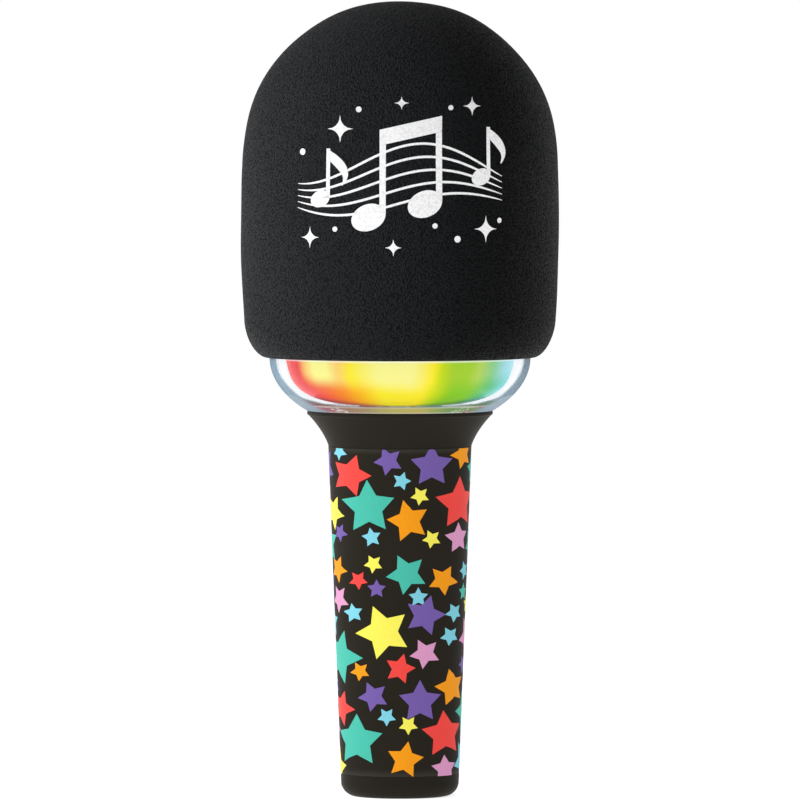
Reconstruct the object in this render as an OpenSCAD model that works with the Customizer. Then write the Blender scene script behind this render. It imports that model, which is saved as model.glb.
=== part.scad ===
// Hand-held toy microphone with a built-in loudspeaker and a lit bowl.
// The axis is Z, the foot stands on z = 0, the front faces -Y and the buttons are at the back, +Y.
// All lengths are millimetres.

/* [Grip] */
// Length of the tapered grip, foot to collar
grip_len = 106; // [96:1:130]
// Radius of the taper at the foot
foot_r = 17.6; // [17:0.1:20]
// Radius of the taper under the collar
grip_top_r = 21.6; // [21:0.1:24]
// Rounding of the foot's edge
foot_round = 5.5; // [3:0.5:6]
// Thickness of the moulded half shells
shell_wall = 2.2; // [1.6:0.1:2.6]
// Thickness of the printed film on the grip
film_t = 0.3; // [0.2:0.05:0.5]
// Bare band between the foot and the film
film_margin = 6.8; // [6.5:0.1:10]
// Height of the tongue that locates the two shells
tongue_h = 1.2; // [0.8:0.1:2]

/* [Collar] */
// Radius of the collar's lip
collar_r = 28; // [25.4:0.1:30.8]
// Height of the collar above the grip
collar_h = 10.4; // [10:0.1:13]
// Height of the upright edge of the lip
collar_lip = 1.2; // [0.8:0.1:2]

/* [Light bowl] */
// Radius of the clear bowl's rim and of the basket above it
head_r = 39.4; // [35.6:0.1:43.2]
// Height of the bowl that shows between collar and windscreen
bowl_h = 16.1; // [14:0.1:20]
// Thickness of the bowl's side
bowl_wall = 2.5; // [1.8:0.1:3]
// Thickness of the bowl's floor
bowl_floor = 2.6; // [2:0.1:3.5]
// Height of the bowl's upright rim inside the windscreen
bowl_rim = 5; // [4.6:0.1:8]
// Space between the bowl and the light diffuser
core_space = 2.3; // [1:0.1:3]
// Thickness of the light diffuser
core_wall = 1.6; // [1:0.1:2]
// Number of lamps on the ring board
led_count = 12; // [6:3:12]

/* [Windscreen and basket] */
// Thickness of the foam
foam_wall = 8.2; // [6:0.1:10]
// Gap between the foam and the basket
foam_gap = 0.4; // [0.3:0.05:0.8]
// Length of the windscreen's straight side
foam_side = 59.5; // [54:0.5:70]
// Height of the rounding at the windscreen's open end
foam_lip = 12; // [8:0.5:16]
// How far the windscreen draws in towards its open end
foam_tuck = 0.9; // [0:0.1:1.5]
// Thickness of the basket
basket_wall = 2; // [1.6:0.1:2.6]
// Number of columns of sound openings in the basket
basket_columns = 20; // [12:1:24]
// Width of the ribs between the columns, in degrees
basket_rib = 5; // [4:0.5:8]

/* [Loudspeaker and capsule] */
// Outer radius of the loudspeaker's frame
speaker_r = 25; // [22.5:0.1:27]
// Depth of the box behind the loudspeaker
chamber_h = 25; // [25:0.5:32]
// Travel of the cone, each way
cone_travel = 1; // [0.5:0.1:1.2]
// Radius of the sound capsule
capsule_r = 4.85; // [4:0.05:6]
// Length of the sound capsule
capsule_h = 6.7; // [5:0.1:8]

/* [Buttons] */
// Radius of a button's cap
button_r = 4.4; // [3.5:0.1:4.8]
// Distance between buttons
button_pitch = 13; // [11.8:0.1:14.2]
// How far a cap stands out of the grip
button_proud = 1.2; // [0.9:0.1:2]
// Travel of a button
button_travel = 0.6; // [0.3:0.1:0.8]

/* [Electronics] */
// Radius of the battery cell
battery_r = 9.2; // [7:0.1:9.6]
// Length of the battery cell
battery_len = 65; // [50:1:71]
// Thickness of the circuit boards
board_t = 1.6; // [1:0.1:2]
// Diameter of the inner leads
lead_d = 1.6; // [1:0.1:2]

/* [Hidden] */
$fn = 64;

// Clearances
glue_gap = 0.05;
slip_gap = 0.2;
part_gap = 0.3;
seam_gap = 0.15;
film_top = 0.5;

// How far a rib or boss sinks into the wall that it grows from, and a length past everything
sink = 1;
far = 400;

// Heights of the main levels
z_lip = grip_len + collar_h;
z_floor = z_lip + bowl_floor;
z_rim = z_lip + bowl_h;
z_base = z_rim + bowl_rim;
z_dome = z_rim + foam_side;

// Grip: outer radius and inner radius of the shells at a height
function grip_r(z) = foot_r + (grip_top_r - foot_r) * z / grip_len;
function recess_r(z) = grip_r(z) - film_t - glue_gap;
function cavity_r(z) = recess_r(z) - shell_wall;

// Points along an arc about c, in degrees
function arc(c, r, from, to, steps) = oval(c, r, r, from, to, steps);

// Points along an ellipse about c with half widths a and b, in degrees
function oval(c, a, b, from, to, steps) =
    [for (i = [0 : steps])
        let (t = from + (to - from) * i / steps) c + [a * cos(t), b * sin(t)]];

// Collar flare: a curve that leaves the grip at flare_lean and bends out to the lip
flare_lean = 20;
flare_from = [grip_top_r, grip_len];
collar_edge = 0.35;
flare_to = [collar_r - collar_edge, z_lip - collar_lip];
flare_half = (flare_to[1] - flare_from[1]) / 2;
flare_knee = flare_from + flare_half * [tan(flare_lean), 1];
function flare(t) = pow(1 - t, 2) * flare_from + 2 * t * (1 - t) * flare_knee + t * t * flare_to;
function flare_r(z) = flare((z - flare_from[1]) / (flare_to[1] - flare_from[1]))[0];

// Neck of the bowl, held in a groove between the two shells
neck_grip = 2.4;
groove_h = 2;
z_groove = z_lip - neck_grip - groove_h;
groove_r = flare_r(z_groove) - shell_wall;
neck_r = groove_r - neck_grip;
neck_wall = 2.4;

// Bowl: half an ellipse that meets the collar's lip
bowl_oval_h = bowl_h / sqrt(1 - pow(collar_r / head_r, 2));
function bowl_r(z) = head_r * sqrt(1 - pow((z_rim - z) / bowl_oval_h, 2));

// Light diffuser: an ellipse inside the bowl, standing on its floor
core_r = head_r - bowl_wall - core_space;
core_foot_r = bowl_r(z_floor) - bowl_wall - core_space - 3;
core_h = z_rim - z_floor - glue_gap;
core_oval_h = core_h / sqrt(1 - pow(core_foot_r / core_r, 2));
core_open_r = core_foot_r - 4;
core_in = core_r - core_wall;

// Head base: a plate on the bowl's rim with three posts down to the bowl's floor
base_plate = 2.4;
base_ring_h = 4.6;
base_ring_wall = 2.2;
z_plate = z_base + base_plate;
basket_in_r = head_r - basket_wall;
base_ring_r = basket_in_r - slip_gap;
post_count = 3;
post_turn = 30;
post_at = 13;
post_r = 3.2;
snap_z = z_plate + base_ring_h / 2;
snap_depth = 0.6;
snap_h = 1;
snap_slot = snap_h + 2 * slip_gap;
mic_hole_r = lead_d / 2 + 0.6;
speaker_hole_at = 6;
speaker_wire_r = lead_d / 2 + 1.6;
wire_hole_r = 8;

// Ring board with the lamps, hung under the head base
led_w = 5;
led_h = 1.5;
standoff_h = 1.5;
standoff_r = 2.2;
led_screw_count = 3;
led_screw_turn = 15;
z_led_board = z_base - standoff_h - board_t;
led_board_in = post_at + post_r + 0.4;

// Basket and windscreen
foam_in_r = head_r + foam_gap;
foam_r = foam_in_r + foam_wall;
foam_rest = 0.5;
boot_wall = 3;
boot_ledge = 1.2;
boss_in_r = capsule_r + boot_wall;
boss_wall = 1.5;
boot_h = capsule_h + boot_ledge + 0.4;
boss_drop = 11;
z_boot = z_dome + sqrt(pow(basket_in_r, 2) - pow(boss_in_r, 2)) - boss_drop + 0.6;

// Loudspeaker, built downwards from its flange
chamber_wall = 2;
chamber_top = 2.5;
chamber_r = speaker_r + 4.5;
mic_side = 0.7;
mic_hole_at = chamber_r + mic_side + lead_d / 2;
speaker_hole_r = speaker_r - 2.5;
gasket_t = 0.8;
frame_t = 0.8;
flange_t = 1;
z_chamber = z_plate + chamber_h;
z_flange = z_chamber + gasket_t;
frame_h = 12.8;
frame_lip = 1.4;
frame_vent = [16, 8, 5];
terminal = [4, 5, 1];
terminal_drop = 5.5;
frame_neck_r = 12;
z_magnet_top = z_flange + flange_t - frame_h - frame_t;
magnet_r = 14;
magnet_h = 6;
magnet_hole_r = 7;
pole_r = 5;
yoke_t = 2.4;
coil_r = 5.4;
coil_wall = 0.4;
coil_gap = 0.25;
coil_reach = cone_travel;
washer_t = 2;
cone_r = speaker_hole_r - 3.4;
cone_t = 0.6;
cone_h = 7.6;
z_cone = z_flange + flange_t - cone_t;
cone_floor_z = z_cone - cone_h;
cone_foot = cone_t + 0.2;
dust_cap_r = 7.5;
dust_cap_h = 2.6;
speaker_screw_at = speaker_r + 1.6;

// The ring board keeps inside the diffuser and beside the capsule's lead
led_board_side = 4.5;
led_lead_side = 1.7;
led_board_out = min(core_in - led_board_side, mic_hole_at - lead_d / 2 - led_lead_side);
led_at = (led_board_in + led_board_out) / 2 + 1;
led_screw_at = led_board_out - 2.4;

// Main board and battery
board_y = 7;
board_edge = 0.8;
pad_t = 1.9;
pad_w = 8;
battery_y = board_y - slip_gap - pad_t - slip_gap - battery_r;
battery_cap_r = 3.4;
battery_cap_h = 1;
screw_z_low = 12;
screw_z_high = grip_len - 5;
screw_x_low = 7;
screw_x_high = 12;
screw_boss_r = 3;
z_board = screw_z_low + screw_boss_r + 1.4;
board_len = screw_z_high - screw_boss_r - 2 - z_board;
board_back = board_y + board_t;
board_half = sqrt(pow(cavity_r(z_board) - board_edge, 2) - pow(board_back, 2));
z_battery = screw_z_low + screw_boss_r + 4;
saddle_t = 2;
saddle_end = 8;
board_post_r = 2.4;
board_post_x = board_half - 2.8;

// Charge socket, upright on the main board near the foot
socket_up = 9;
socket_z = z_board + socket_up;
socket_w = 9;
socket_h = 3.4;
socket_wall = 0.4;
socket_tongue = 0.7;
socket_len = recess_r(socket_z) - board_back - 0.8;
socket_gap = 0.3;

// Buttons, in a column down the back, midway between the charge socket and the collar
button_count = 5;
button_clear = 1.4;
button_mid = (socket_z + socket_h / 2 + socket_gap + grip_len - button_clear) / 2;
seat_depth = 4;
seat_rim = 2.15;
cap_gap = 0.15;
button_flange = 1.3;
button_flange_t = 1.2;
button_stem_r = 2.2;
switch_w = 6;
switch_h = 3.5;
plunger_r = 1.7;
plunger_out = 1.1;
plunger_in = 1.5;
y_plunger = board_back + switch_h + plunger_out;
function button_z(i) = button_mid + ((button_count - 1) / 2 - i) * button_pitch;
function seat_y(i) = grip_r(button_z(i)) - seat_depth;
seat_r = min(button_r + seat_rim, button_pitch - button_r - button_flange - part_gap);

// Posts for the main board: near its low end, and between the two upper buttons
board_post_up = 3.6;
board_post_z = [z_board + board_post_up, (button_z(0) + button_z(1)) / 2];

// Screws: radius of shank and head, and height of the head
shell_screw = [1.3, 2.5, 2];
board_screw = [1.0, 1.9, 1.4];
post_screw = [1.4, 2.6, 2];
tap_gap = 0.05;
shell_seat_y = 6;
shell_screw_len = 14;
board_screw_len = 5;
post_screw_len = 11;
speaker_screw_len = 7;
led_screw_len = 4;

// Helpers

// Turns the children so that their Z points to +Y, at (x, z)
module facing_back(x, z) {
    translate([x, 0, z]) rotate([-90, 0, 0]) children();
}

// Repeats the children round the axis
module around(count, first = 0) {
    for (i = [0 : count - 1]) rotate([0, 0, first + i * 360 / count]) children();
}

// A ring about Z
module ring(z, h, r_in, r_out) {
    translate([0, 0, z]) difference() {
        cylinder(h = h, r = r_out);
        translate([0, 0, -1]) cylinder(h = h + 2, r = r_in);
    }
}

// A pan-headed screw along -Z with a cross recess, its head seated on z = 0
module screw(size, len) {
    difference() {
        rotate_extrude() polygon([
            [0, -len], [size[0] * 0.4, -len], [size[0], -len + size[0]], [size[0], 0], [size[1], 0],
            [size[1], size[2] * 0.6], [size[1] * 0.7, size[2]], [0, size[2]]
        ]);
        for (turn = [45, 135]) rotate([0, 0, turn]) translate([0, 0, size[2]])
            cube([size[1] * 1.1, size[0] * 0.45, size[2]], center = true);
    }
}

// Half space in front of the seam (side -1) or behind it (side 1)
module half(side, gap = 0) {
    translate([-far / 2, side > 0 ? gap : -far, -far / 2]) cube([far, far - gap, far * 2]);
}

// Leads: a round tube swept along a smooth curve through a few points
lead_sides = 8;
lead_steps = 3;

// Point on a Catmull-Rom curve between b and c
function curve(a, b, c, d, t) =
    0.5 * (2 * b + (c - a) * t + (2 * a - 5 * b + 4 * c - d) * t * t + (3 * b - a - 3 * c + d) * t * t * t);
function smooth(p) =
    let (n = len(p))
    concat([for (i = [0 : n - 2], s = [0 : lead_steps - 1])
        curve(p[max(i - 1, 0)], p[i], p[i + 1], p[min(i + 2, n - 1)], s / lead_steps)], [p[n - 1]]);
function unit(v) = v / norm(v);
function heading(p, i) = unit(p[min(i + 1, len(p) - 1)] - p[max(i - 1, 0)]);

// Sweeps a round section along the points, with its corners set out from the side vector
module lead(points, side) {
    path = smooth(points);
    count = len(path);
    corners = [for (i = [0 : count - 1])
        let (along = heading(path, i), u = unit(cross(along, side)), v = cross(along, u))
        for (k = [0 : lead_sides - 1])
            path[i] + lead_d / 2 * (u * cos(360 * k / lead_sides) + v * sin(360 * k / lead_sides))];
    walls = [for (i = [0 : count - 2], k = [0 : lead_sides - 1])
        let (a = i * lead_sides + k, b = i * lead_sides + (k + 1) % lead_sides)
        each [[a, a + lead_sides, b], [b, a + lead_sides, b + lead_sides]]];
    first = [for (k = [1 : lead_sides - 2]) [0, k, k + 1]];
    base = (count - 1) * lead_sides;
    last = [for (k = [1 : lead_sides - 2]) [base, base + k + 1, base + k]];
    polyhedron(points = corners, faces = concat(walls, first, last));
}

// Head

module foam_windscreen() {
    side_r = foam_r - foam_tuck;
    lip_in = foam_in_r + foam_rest;
    z_side = z_rim + foam_lip;
    draw_h = (z_dome - z_side) / 2;
    lip = oval([lip_in, z_side], side_r - lip_in, foam_lip, -90, 0, 12);
    draw = [for (i = [1 : 6]) [foam_r - foam_tuck * pow(1 - i / 6, 2), z_side + draw_h * i / 6]];
    outside = concat(lip, draw, arc([0, z_dome], foam_r, 0, 90, 20));
    inside = arc([0, z_dome], foam_in_r, 90, 0, 20);
    color("#1d1d1f") rotate_extrude() polygon(concat(outside, inside, [[foam_in_r, z_rim]]));
}

// Rows of sound openings: two share the side, with a hoop between them, and two go up the dome, in degrees
hoop = 3;
z_rows = z_plate + base_ring_h + hoop;
row_h = (z_dome - z_rows - hoop) / 2;
basket_rows_side = [z_rows, z_rows + row_h + hoop];
basket_rows_dome = [[6, 32], [37, 60]];
window_reach = 6;

module basket_window(rim) {
    angle = 360 / basket_columns - basket_rib;
    rotate([0, 0, -angle / 2]) rotate_extrude(angle = angle) polygon(rim);
}

module grille_basket() {
    snap_r = 2.5;
    apex_hole_r = capsule_r;
    near = basket_in_r - window_reach;
    beyond = head_r + window_reach;
    outer = concat([[head_r, z_plate]], arc([0, z_dome], head_r, 0, 90, 20));
    inner = concat(arc([0, z_dome], basket_in_r, 90, 0, 20), [[basket_in_r, z_plate]]);
    color("#26282a") {
        difference() {
            rotate_extrude() polygon(concat(outer, inner));
            around(basket_columns, 180 / basket_columns) {
                for (z = basket_rows_side)
                    basket_window([[near, z], [beyond, z], [beyond, z + row_h], [near, z + row_h]]);
                for (row = basket_rows_dome) basket_window([
                    for (p = [[near, row[0]], [beyond, row[0]], [beyond, row[1]], [near, row[1]]])
                        [0, z_dome] + p[0] * [cos(p[1]), sin(p[1])]
                ]);
            }
            translate([0, 0, z_dome]) cylinder(h = beyond, r = apex_hole_r);
        }
        // Socket under the apex that takes the capsule's boot
        intersection() {
            ring(z_boot - 0.6, boss_drop + basket_wall, boss_in_r, boss_in_r + boss_wall);
            translate([0, 0, z_dome]) sphere(r = (basket_in_r + head_r) / 2);
        }
        // Snaps that click into the groove of the head base
        around(4, 45) intersection() {
            ring(snap_z - snap_h / 2, snap_h, basket_in_r - snap_depth, basket_in_r + basket_wall / 2);
            translate([basket_in_r, 0, snap_z]) cube([8, 2 * snap_r, 4], center = true);
        }
    }
}

module capsule_boot() {
    color("#141414") difference() {
        translate([0, 0, z_boot]) cylinder(h = boot_h, r = boss_in_r - glue_gap);
        translate([0, 0, z_boot + boot_ledge]) cylinder(h = boot_h, r = capsule_r + glue_gap);
        translate([0, 0, z_boot - 1]) cylinder(h = boot_h, r = capsule_r - 1.2);
    }
}

module mic_capsule() {
    color("silver") translate([0, 0, z_boot + boot_ledge + glue_gap]) difference() {
        cylinder(h = capsule_h, r = capsule_r);
        around(4) translate([capsule_r / 2, 0, capsule_h - 0.6]) cylinder(h = 1, r = 0.7);
        translate([0, 0, capsule_h - 0.6]) cylinder(h = 1, r = 0.9);
    }
}

// Notch at the side that lets the capsule's lead past a rim, open above z
module mic_notch(z) {
    translate([-far, -mic_hole_r, z]) cube([far - mic_hole_at, 2 * mic_hole_r, far]);
}

module head_base() {
    color("#2a2a2c") difference() {
        union() {
            translate([0, 0, z_base]) cylinder(h = base_plate, r = head_r);
            ring(z_plate - sink, base_ring_h + sink, base_ring_r - base_ring_wall, base_ring_r);
            around(post_count, post_turn) translate([post_at, 0, z_floor + glue_gap])
                cylinder(h = z_base + sink - z_floor - glue_gap, r = post_r);
            around(led_screw_count, led_screw_turn) translate([led_screw_at, 0, z_base - standoff_h])
                cylinder(h = standoff_h + sink, r = standoff_r);
        }
        ring(snap_z - snap_slot / 2, snap_slot, base_ring_r - snap_depth, base_ring_r + 1);
        around(post_count, post_turn) translate([post_at, 0, z_floor - 1])
            cylinder(h = post_screw_len + 1, r = post_screw[0] + tap_gap);
        around(led_screw_count, led_screw_turn) translate([led_screw_at, 0, z_base - standoff_h - 1])
            cylinder(h = led_screw_len, r = board_screw[0] + tap_gap);
        translate([-mic_hole_at, 0, z_base - 1]) cylinder(h = base_plate + 2, r = mic_hole_r);
        mic_notch(z_plate - sink / 2);
        translate([speaker_hole_at, 0, z_base - 1]) cylinder(h = base_plate + 2, r = speaker_wire_r);
    }
}

module post_screws() {
    color("silver") around(post_count, post_turn) translate([post_at, 0, z_lip]) mirror([0, 0, 1])
        screw(post_screw, post_screw_len);
}

// Loudspeaker

module speaker_chamber() {
    boss_r = board_screw[0] + 1.4;
    boss_h = speaker_screw_len + 1;
    color("#2a2a2c") difference() {
        union() {
            ring(z_plate, chamber_h, chamber_r - chamber_wall, chamber_r);
            ring(z_chamber - chamber_top, chamber_top, speaker_hole_r, chamber_r - chamber_wall / 2);
            around(4, 45) translate([speaker_screw_at, 0, z_chamber - boss_h])
                cylinder(h = boss_h - chamber_top / 2, r = boss_r);
        }
        around(4, 45) translate([speaker_screw_at, 0, z_chamber - speaker_screw_len - 0.5])
            cylinder(h = speaker_screw_len + 2, r = board_screw[0] + tap_gap);
    }
}

module speaker_gasket() {
    color("#3a3a3a") ring(z_chamber, gasket_t, speaker_hole_r, speaker_r);
}

module speaker_frame() {
    lip_r = speaker_hole_r - slip_gap;
    lip_in = lip_r - frame_t;
    z_top = z_flange + flange_t;
    z_step = z_flange - frame_lip;
    z_seat = z_magnet_top + frame_t;
    color("#55585c") {
        difference() {
            rotate_extrude() polygon([
                [lip_in, z_top], [speaker_r, z_top], [speaker_r, z_flange], [lip_r, z_flange],
                [lip_r, z_step], [frame_neck_r + frame_t, z_seat], [magnet_r, z_seat],
                [magnet_r, z_magnet_top], [magnet_hole_r, z_magnet_top], [magnet_hole_r, z_seat],
                [frame_neck_r, z_seat],
                [lip_in, z_step + frame_t / 2]
            ]);
            around(4) translate([(lip_r + frame_neck_r) / 2, 0, (z_seat + z_step) / 2])
                cube(frame_vent, center = true);
        }
        // Tab that the lead is soldered to
        rotate([0, 0, 45]) translate([lip_r - terminal[0], 0, z_flange - terminal_drop])
            cube(terminal, center = true);
    }
}

module speaker_magnet() {
    color("#3b3c3e") ring(z_magnet_top - washer_t - magnet_h, magnet_h, magnet_hole_r, magnet_r);
}

module speaker_washer() {
    color("silver") ring(z_magnet_top - washer_t, washer_t, coil_r + coil_wall + coil_gap, magnet_r - 1);
}

module speaker_yoke() {
    z_back = z_magnet_top - washer_t - magnet_h - yoke_t;
    color("silver") {
        translate([0, 0, z_back]) cylinder(h = yoke_t, r = magnet_r - 1);
        translate([0, 0, z_back + yoke_t / 2]) cylinder(h = yoke_t / 2 + magnet_h + washer_t, r = pole_r);
    }
}

module voice_coil() {
    z_end = z_magnet_top - washer_t - coil_reach;
    color("#a5632b") ring(z_end, cone_floor_z - z_end, coil_r, coil_r + coil_wall);
}

// The cone hangs from its surround, and its inner edge is glued round the coil
module speaker_cone() {
    coil_out = coil_r + coil_wall;
    color("#202022") rotate_extrude() polygon([
        [coil_r, cone_floor_z], [coil_out + cone_t, cone_floor_z], [cone_r, z_cone - cone_t],
        [cone_r, z_cone], [coil_out, cone_floor_z + cone_foot], [coil_r, cone_floor_z + cone_foot]
    ]);
}

module speaker_dust_cap() {
    slope = (cone_h - cone_foot) / (cone_r - coil_r - coil_wall);
    z_edge = cone_floor_z + cone_foot + slope * (dust_cap_r - coil_r - coil_wall) + glue_gap;
    color("#202022") rotate_extrude() polygon(concat(
        oval([0, z_edge], dust_cap_r, dust_cap_h, 0, 90, 8),
        oval([0, z_edge], dust_cap_r - cone_t, dust_cap_h - cone_t, 90, 0, 8)));
}

// A half-round rubber roll from the cone's edge to the frame
module speaker_surround() {
    inner = cone_r + glue_gap;
    outer = speaker_hole_r - slip_gap - frame_t - glue_gap;
    middle = (inner + outer) / 2;
    width = (outer - inner) / 2;
    color("#181818") rotate_extrude() polygon(concat(
        oval([middle, z_cone], width, width, 0, 180, 10),
        oval([middle, z_cone], width - 0.5, width - 0.5, 180, 0, 10)));
}

module speaker_screws() {
    color("silver") around(4, 45) translate([speaker_screw_at, 0, z_flange + flange_t])
        screw([board_screw[0], board_screw[1] + 0.6, board_screw[2]], speaker_screw_len);
}

// Light

module light_bowl() {
    inner_foot = bowl_r(z_floor) - bowl_wall;
    inner_low = acos(inner_foot / (head_r - bowl_wall));
    inner_h = (z_rim - z_floor) / sin(inner_low);
    outside = oval([0, z_rim], head_r, bowl_oval_h, -acos(collar_r / head_r), 0, 14);
    inside = oval([0, z_rim], head_r - bowl_wall, inner_h, 0, -inner_low, 14);
    neck_in = neck_r - neck_wall;
    hook_r = groove_r - slip_gap;
    z_hook = z_groove + slip_gap;
    z_hook_top = z_groove + groove_h - slip_gap;
    color("#cfe0ee", 0.4) difference() {
        rotate_extrude() polygon(concat(
            outside, [[head_r, z_base], [head_r - bowl_wall, z_base]], inside,
            [[0, z_floor], [0, z_lip], [neck_in, z_lip], [neck_in, z_hook], [hook_r, z_hook],
             [hook_r, z_hook_top], [neck_r, z_hook_top], [neck_r, z_lip]]));
        translate([0, 0, z_lip - 1]) cylinder(h = bowl_floor + 2, r = wire_hole_r);
        around(post_count, post_turn) translate([post_at, 0, z_lip - 1])
            cylinder(h = bowl_floor + 2, r = post_screw[0] + slip_gap);
    }
}

module light_core() {
    z_foot = z_floor + glue_gap;
    low = acos(core_foot_r / core_r);
    inner_foot = core_foot_r - core_wall;
    inner_low = asin(min(1, (core_h - core_wall) / core_oval_h));
    z_top = z_base - part_gap;
    color("#fdf3b0", 0.9) difference() {
        rotate_extrude() polygon(concat(
            oval([0, z_rim], core_r, core_oval_h, -low, 0, 12),
            [[core_r, z_top], [core_in, z_top]],
            oval([0, z_rim], core_in, core_oval_h, 0, -inner_low, 12),
            [[core_open_r, z_foot + core_wall], [core_open_r, z_foot]]));
        translate([-far, -mic_hole_r, z_rim + sink / 2]) cube([far, 2 * mic_hole_r, far]);
    }
}

module led_board() {
    color("#f4f4f0") difference() {
        ring(z_led_board, board_t, led_board_in, led_board_out);
        around(led_screw_count, led_screw_turn) translate([led_screw_at, 0, z_led_board - 1])
            cylinder(h = board_t + 2, r = board_screw[0] + slip_gap);
    }
}

module led_lamps() {
    color("white") around(led_count) translate([led_at, 0, z_led_board - led_h / 2])
        cube([led_w, led_w, led_h], center = true);
}

module led_board_screws() {
    color("silver") around(led_screw_count, led_screw_turn) translate([led_screw_at, 0, z_led_board])
        mirror([0, 0, 1]) screw(board_screw, led_screw_len);
}

// Grip

// Outer form of both shells: foot, grip with the recess for the film, and collar
module grip_form() {
    film_end = grip_len - film_top;
    foot = arc([grip_r(foot_round) - foot_round, foot_round], foot_round, -90, 0, 8);
    rotate_extrude() polygon(concat(
        [[0, 0]], foot,
        [[grip_r(film_margin), film_margin], [recess_r(film_margin), film_margin],
         [recess_r(film_end), film_end], [grip_r(film_end), film_end]],
        [for (i = [0 : 12]) flare(i / 12)],
        [[collar_r, z_lip - collar_lip + collar_edge], [collar_r, z_lip - collar_edge],
         [collar_r - collar_edge, z_lip], [0, z_lip]]));
}

// Space inside the shells, with the groove for the bowl's neck
module grip_cavity() {
    foot_in = 3;
    z_low = shell_wall + 0.4;
    foot_r_in = cavity_r(z_low + foot_in);
    z_shoulder = grip_len - 2;
    throat_r = neck_r - slip_gap;
    neck_hole_r = neck_r + slip_gap;
    rotate_extrude() polygon([
        [0, z_low], [foot_r_in - foot_in, z_low], [foot_r_in, z_low + foot_in],
        [cavity_r(z_shoulder), z_shoulder], [throat_r, z_groove - 1], [throat_r, z_groove],
        [groove_r, z_groove], [groove_r, z_groove + groove_h], [neck_hole_r, z_groove + groove_h],
        [neck_hole_r, z_lip + 1], [0, z_lip + 1]
    ]);
}

// Tongue along both seams, on the inner half of the wall
module seam_tongue(play) {
    wall = shell_wall / 2 + play;
    z0 = film_margin + 2 - play;
    z1 = grip_len - 4 + play;
    r0 = cavity_r(z0);
    r1 = cavity_r(z1);
    intersection() {
        rotate_extrude() polygon([[r0 - play, z0], [r0 + wall, z0], [r1 + wall, z1], [r1 - play, z1]]);
        translate([-far / 2, -0.5, 0]) cube([far, tongue_h + play + 0.5, far]);
    }
}

// Places the children at the four shell screws, Z to the back
module at_shell_screws() {
    for (side = [-1, 1]) {
        facing_back(side * screw_x_low, screw_z_low) children();
        facing_back(side * screw_x_high, screw_z_high) children();
    }
}

module front_shell() {
    color("#2b2724") {
        difference() {
            union() {
                intersection() {
                    difference() {
                        grip_form();
                        grip_cavity();
                    }
                    half(-1);
                }
                seam_tongue(0);
                // Screw bosses and saddles that carry the battery
                intersection() {
                    grip_form();
                    half(-1);
                    union() {
                        at_shell_screws() translate([0, 0, -far]) cylinder(h = far, r = screw_boss_r);
                        for (z = [z_battery + saddle_end, z_battery + battery_len - saddle_end - saddle_t])
                            saddle(z);
                    }
                }
            }
            at_shell_screws() translate([0, 0, shell_seat_y - shell_screw_len - 1])
                cylinder(h = shell_screw_len, r = shell_screw[0] + tap_gap);
        }
    }
}

module saddle(z) {
    difference() {
        translate([-far / 2, -far, z]) cube([far, far + battery_y + 3, saddle_t]);
        translate([0, battery_y, z - 1]) cylinder(h = saddle_t + 2, r = battery_r + slip_gap);
    }
}

module rear_shell() {
    color("#2b2724") difference() {
        union() {
            intersection() {
                difference() {
                    grip_form();
                    grip_cavity();
                }
                half(1);
            }
            intersection() {
                grip_form();
                half(1);
                union() {
                    at_shell_screws() cylinder(h = far, r = screw_boss_r + 0.6);
                    // Flat seats behind the buttons
                    for (i = [0 : button_count - 1]) facing_back(0, button_z(i))
                        translate([0, 0, seat_y(i)]) cylinder(h = far, r = seat_r);
                    // Posts that carry the main board
                    at_board_posts() translate([0, 0, board_back]) cylinder(h = far, r = board_post_r);
                }
            }
        }
        seam_tongue(slip_gap / 2);
        button_holes(cap_gap);
        socket_cut(socket_gap);
        at_shell_screws() translate([0, 0, -1]) cylinder(h = far, r = shell_screw[0] + slip_gap);
        at_shell_screws() translate([0, 0, shell_seat_y]) cylinder(h = far, r = shell_screw[1] + slip_gap);
        at_board_posts() translate([0, 0, board_y])
            cylinder(h = board_screw_len + part_gap, r = board_screw[0] + tap_gap);
    }
}

module at_board_posts() {
    for (side = [-1, 1], z = board_post_z) facing_back(side * board_post_x, z) children();
}

module button_holes(gap) {
    for (i = [0 : button_count - 1]) facing_back(0, button_z(i)) translate([0, 0, seat_y(i) - 1])
        cylinder(h = far, r = button_r + gap);
}

// Slot with round ends for the charge plug
module socket_slot(gap, from, len) {
    r = socket_h / 2 + gap;
    reach = socket_w / 2 - socket_h / 2;
    facing_back(0, socket_z) translate([0, 0, from]) {
        for (side = [-1, 1]) translate([side * reach, 0, 0]) cylinder(h = len, r = r);
        translate([-reach, -r, 0]) cube([2 * reach, 2 * r, len]);
    }
}

module socket_cut(gap) {
    socket_slot(gap, board_back, far);
}

// Film with the print, on one half of the grip
module print_film(side) {
    z0 = film_margin + glue_gap;
    z1 = grip_len - film_top - glue_gap;
    intersection() {
        rotate_extrude() polygon([
            [grip_r(z0) - film_t, z0], [grip_r(z0), z0], [grip_r(z1), z1], [grip_r(z1) - film_t, z1]
        ]);
        half(side, seam_gap);
    }
}

module front_print_film() {
    color("#231f1d") print_film(-1);
}

module rear_print_film() {
    color("#231f1d") difference() {
        print_film(1);
        button_holes(cap_gap + part_gap);
        socket_cut(socket_gap + part_gap);
        at_shell_screws() cylinder(h = far, r = shell_screw[1] + slip_gap + part_gap);
    }
}

module shell_screws() {
    color("silver") at_shell_screws() translate([0, 0, shell_seat_y]) screw(shell_screw, shell_screw_len);
}

// Electronics

module main_board() {
    color("#1f6b46") difference() {
        translate([-board_half, board_y, z_board]) cube([2 * board_half, board_t, board_len]);
        at_board_posts() translate([0, 0, board_y - 1])
            cylinder(h = board_t + 2, r = board_screw[0] + slip_gap);
    }
}

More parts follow.
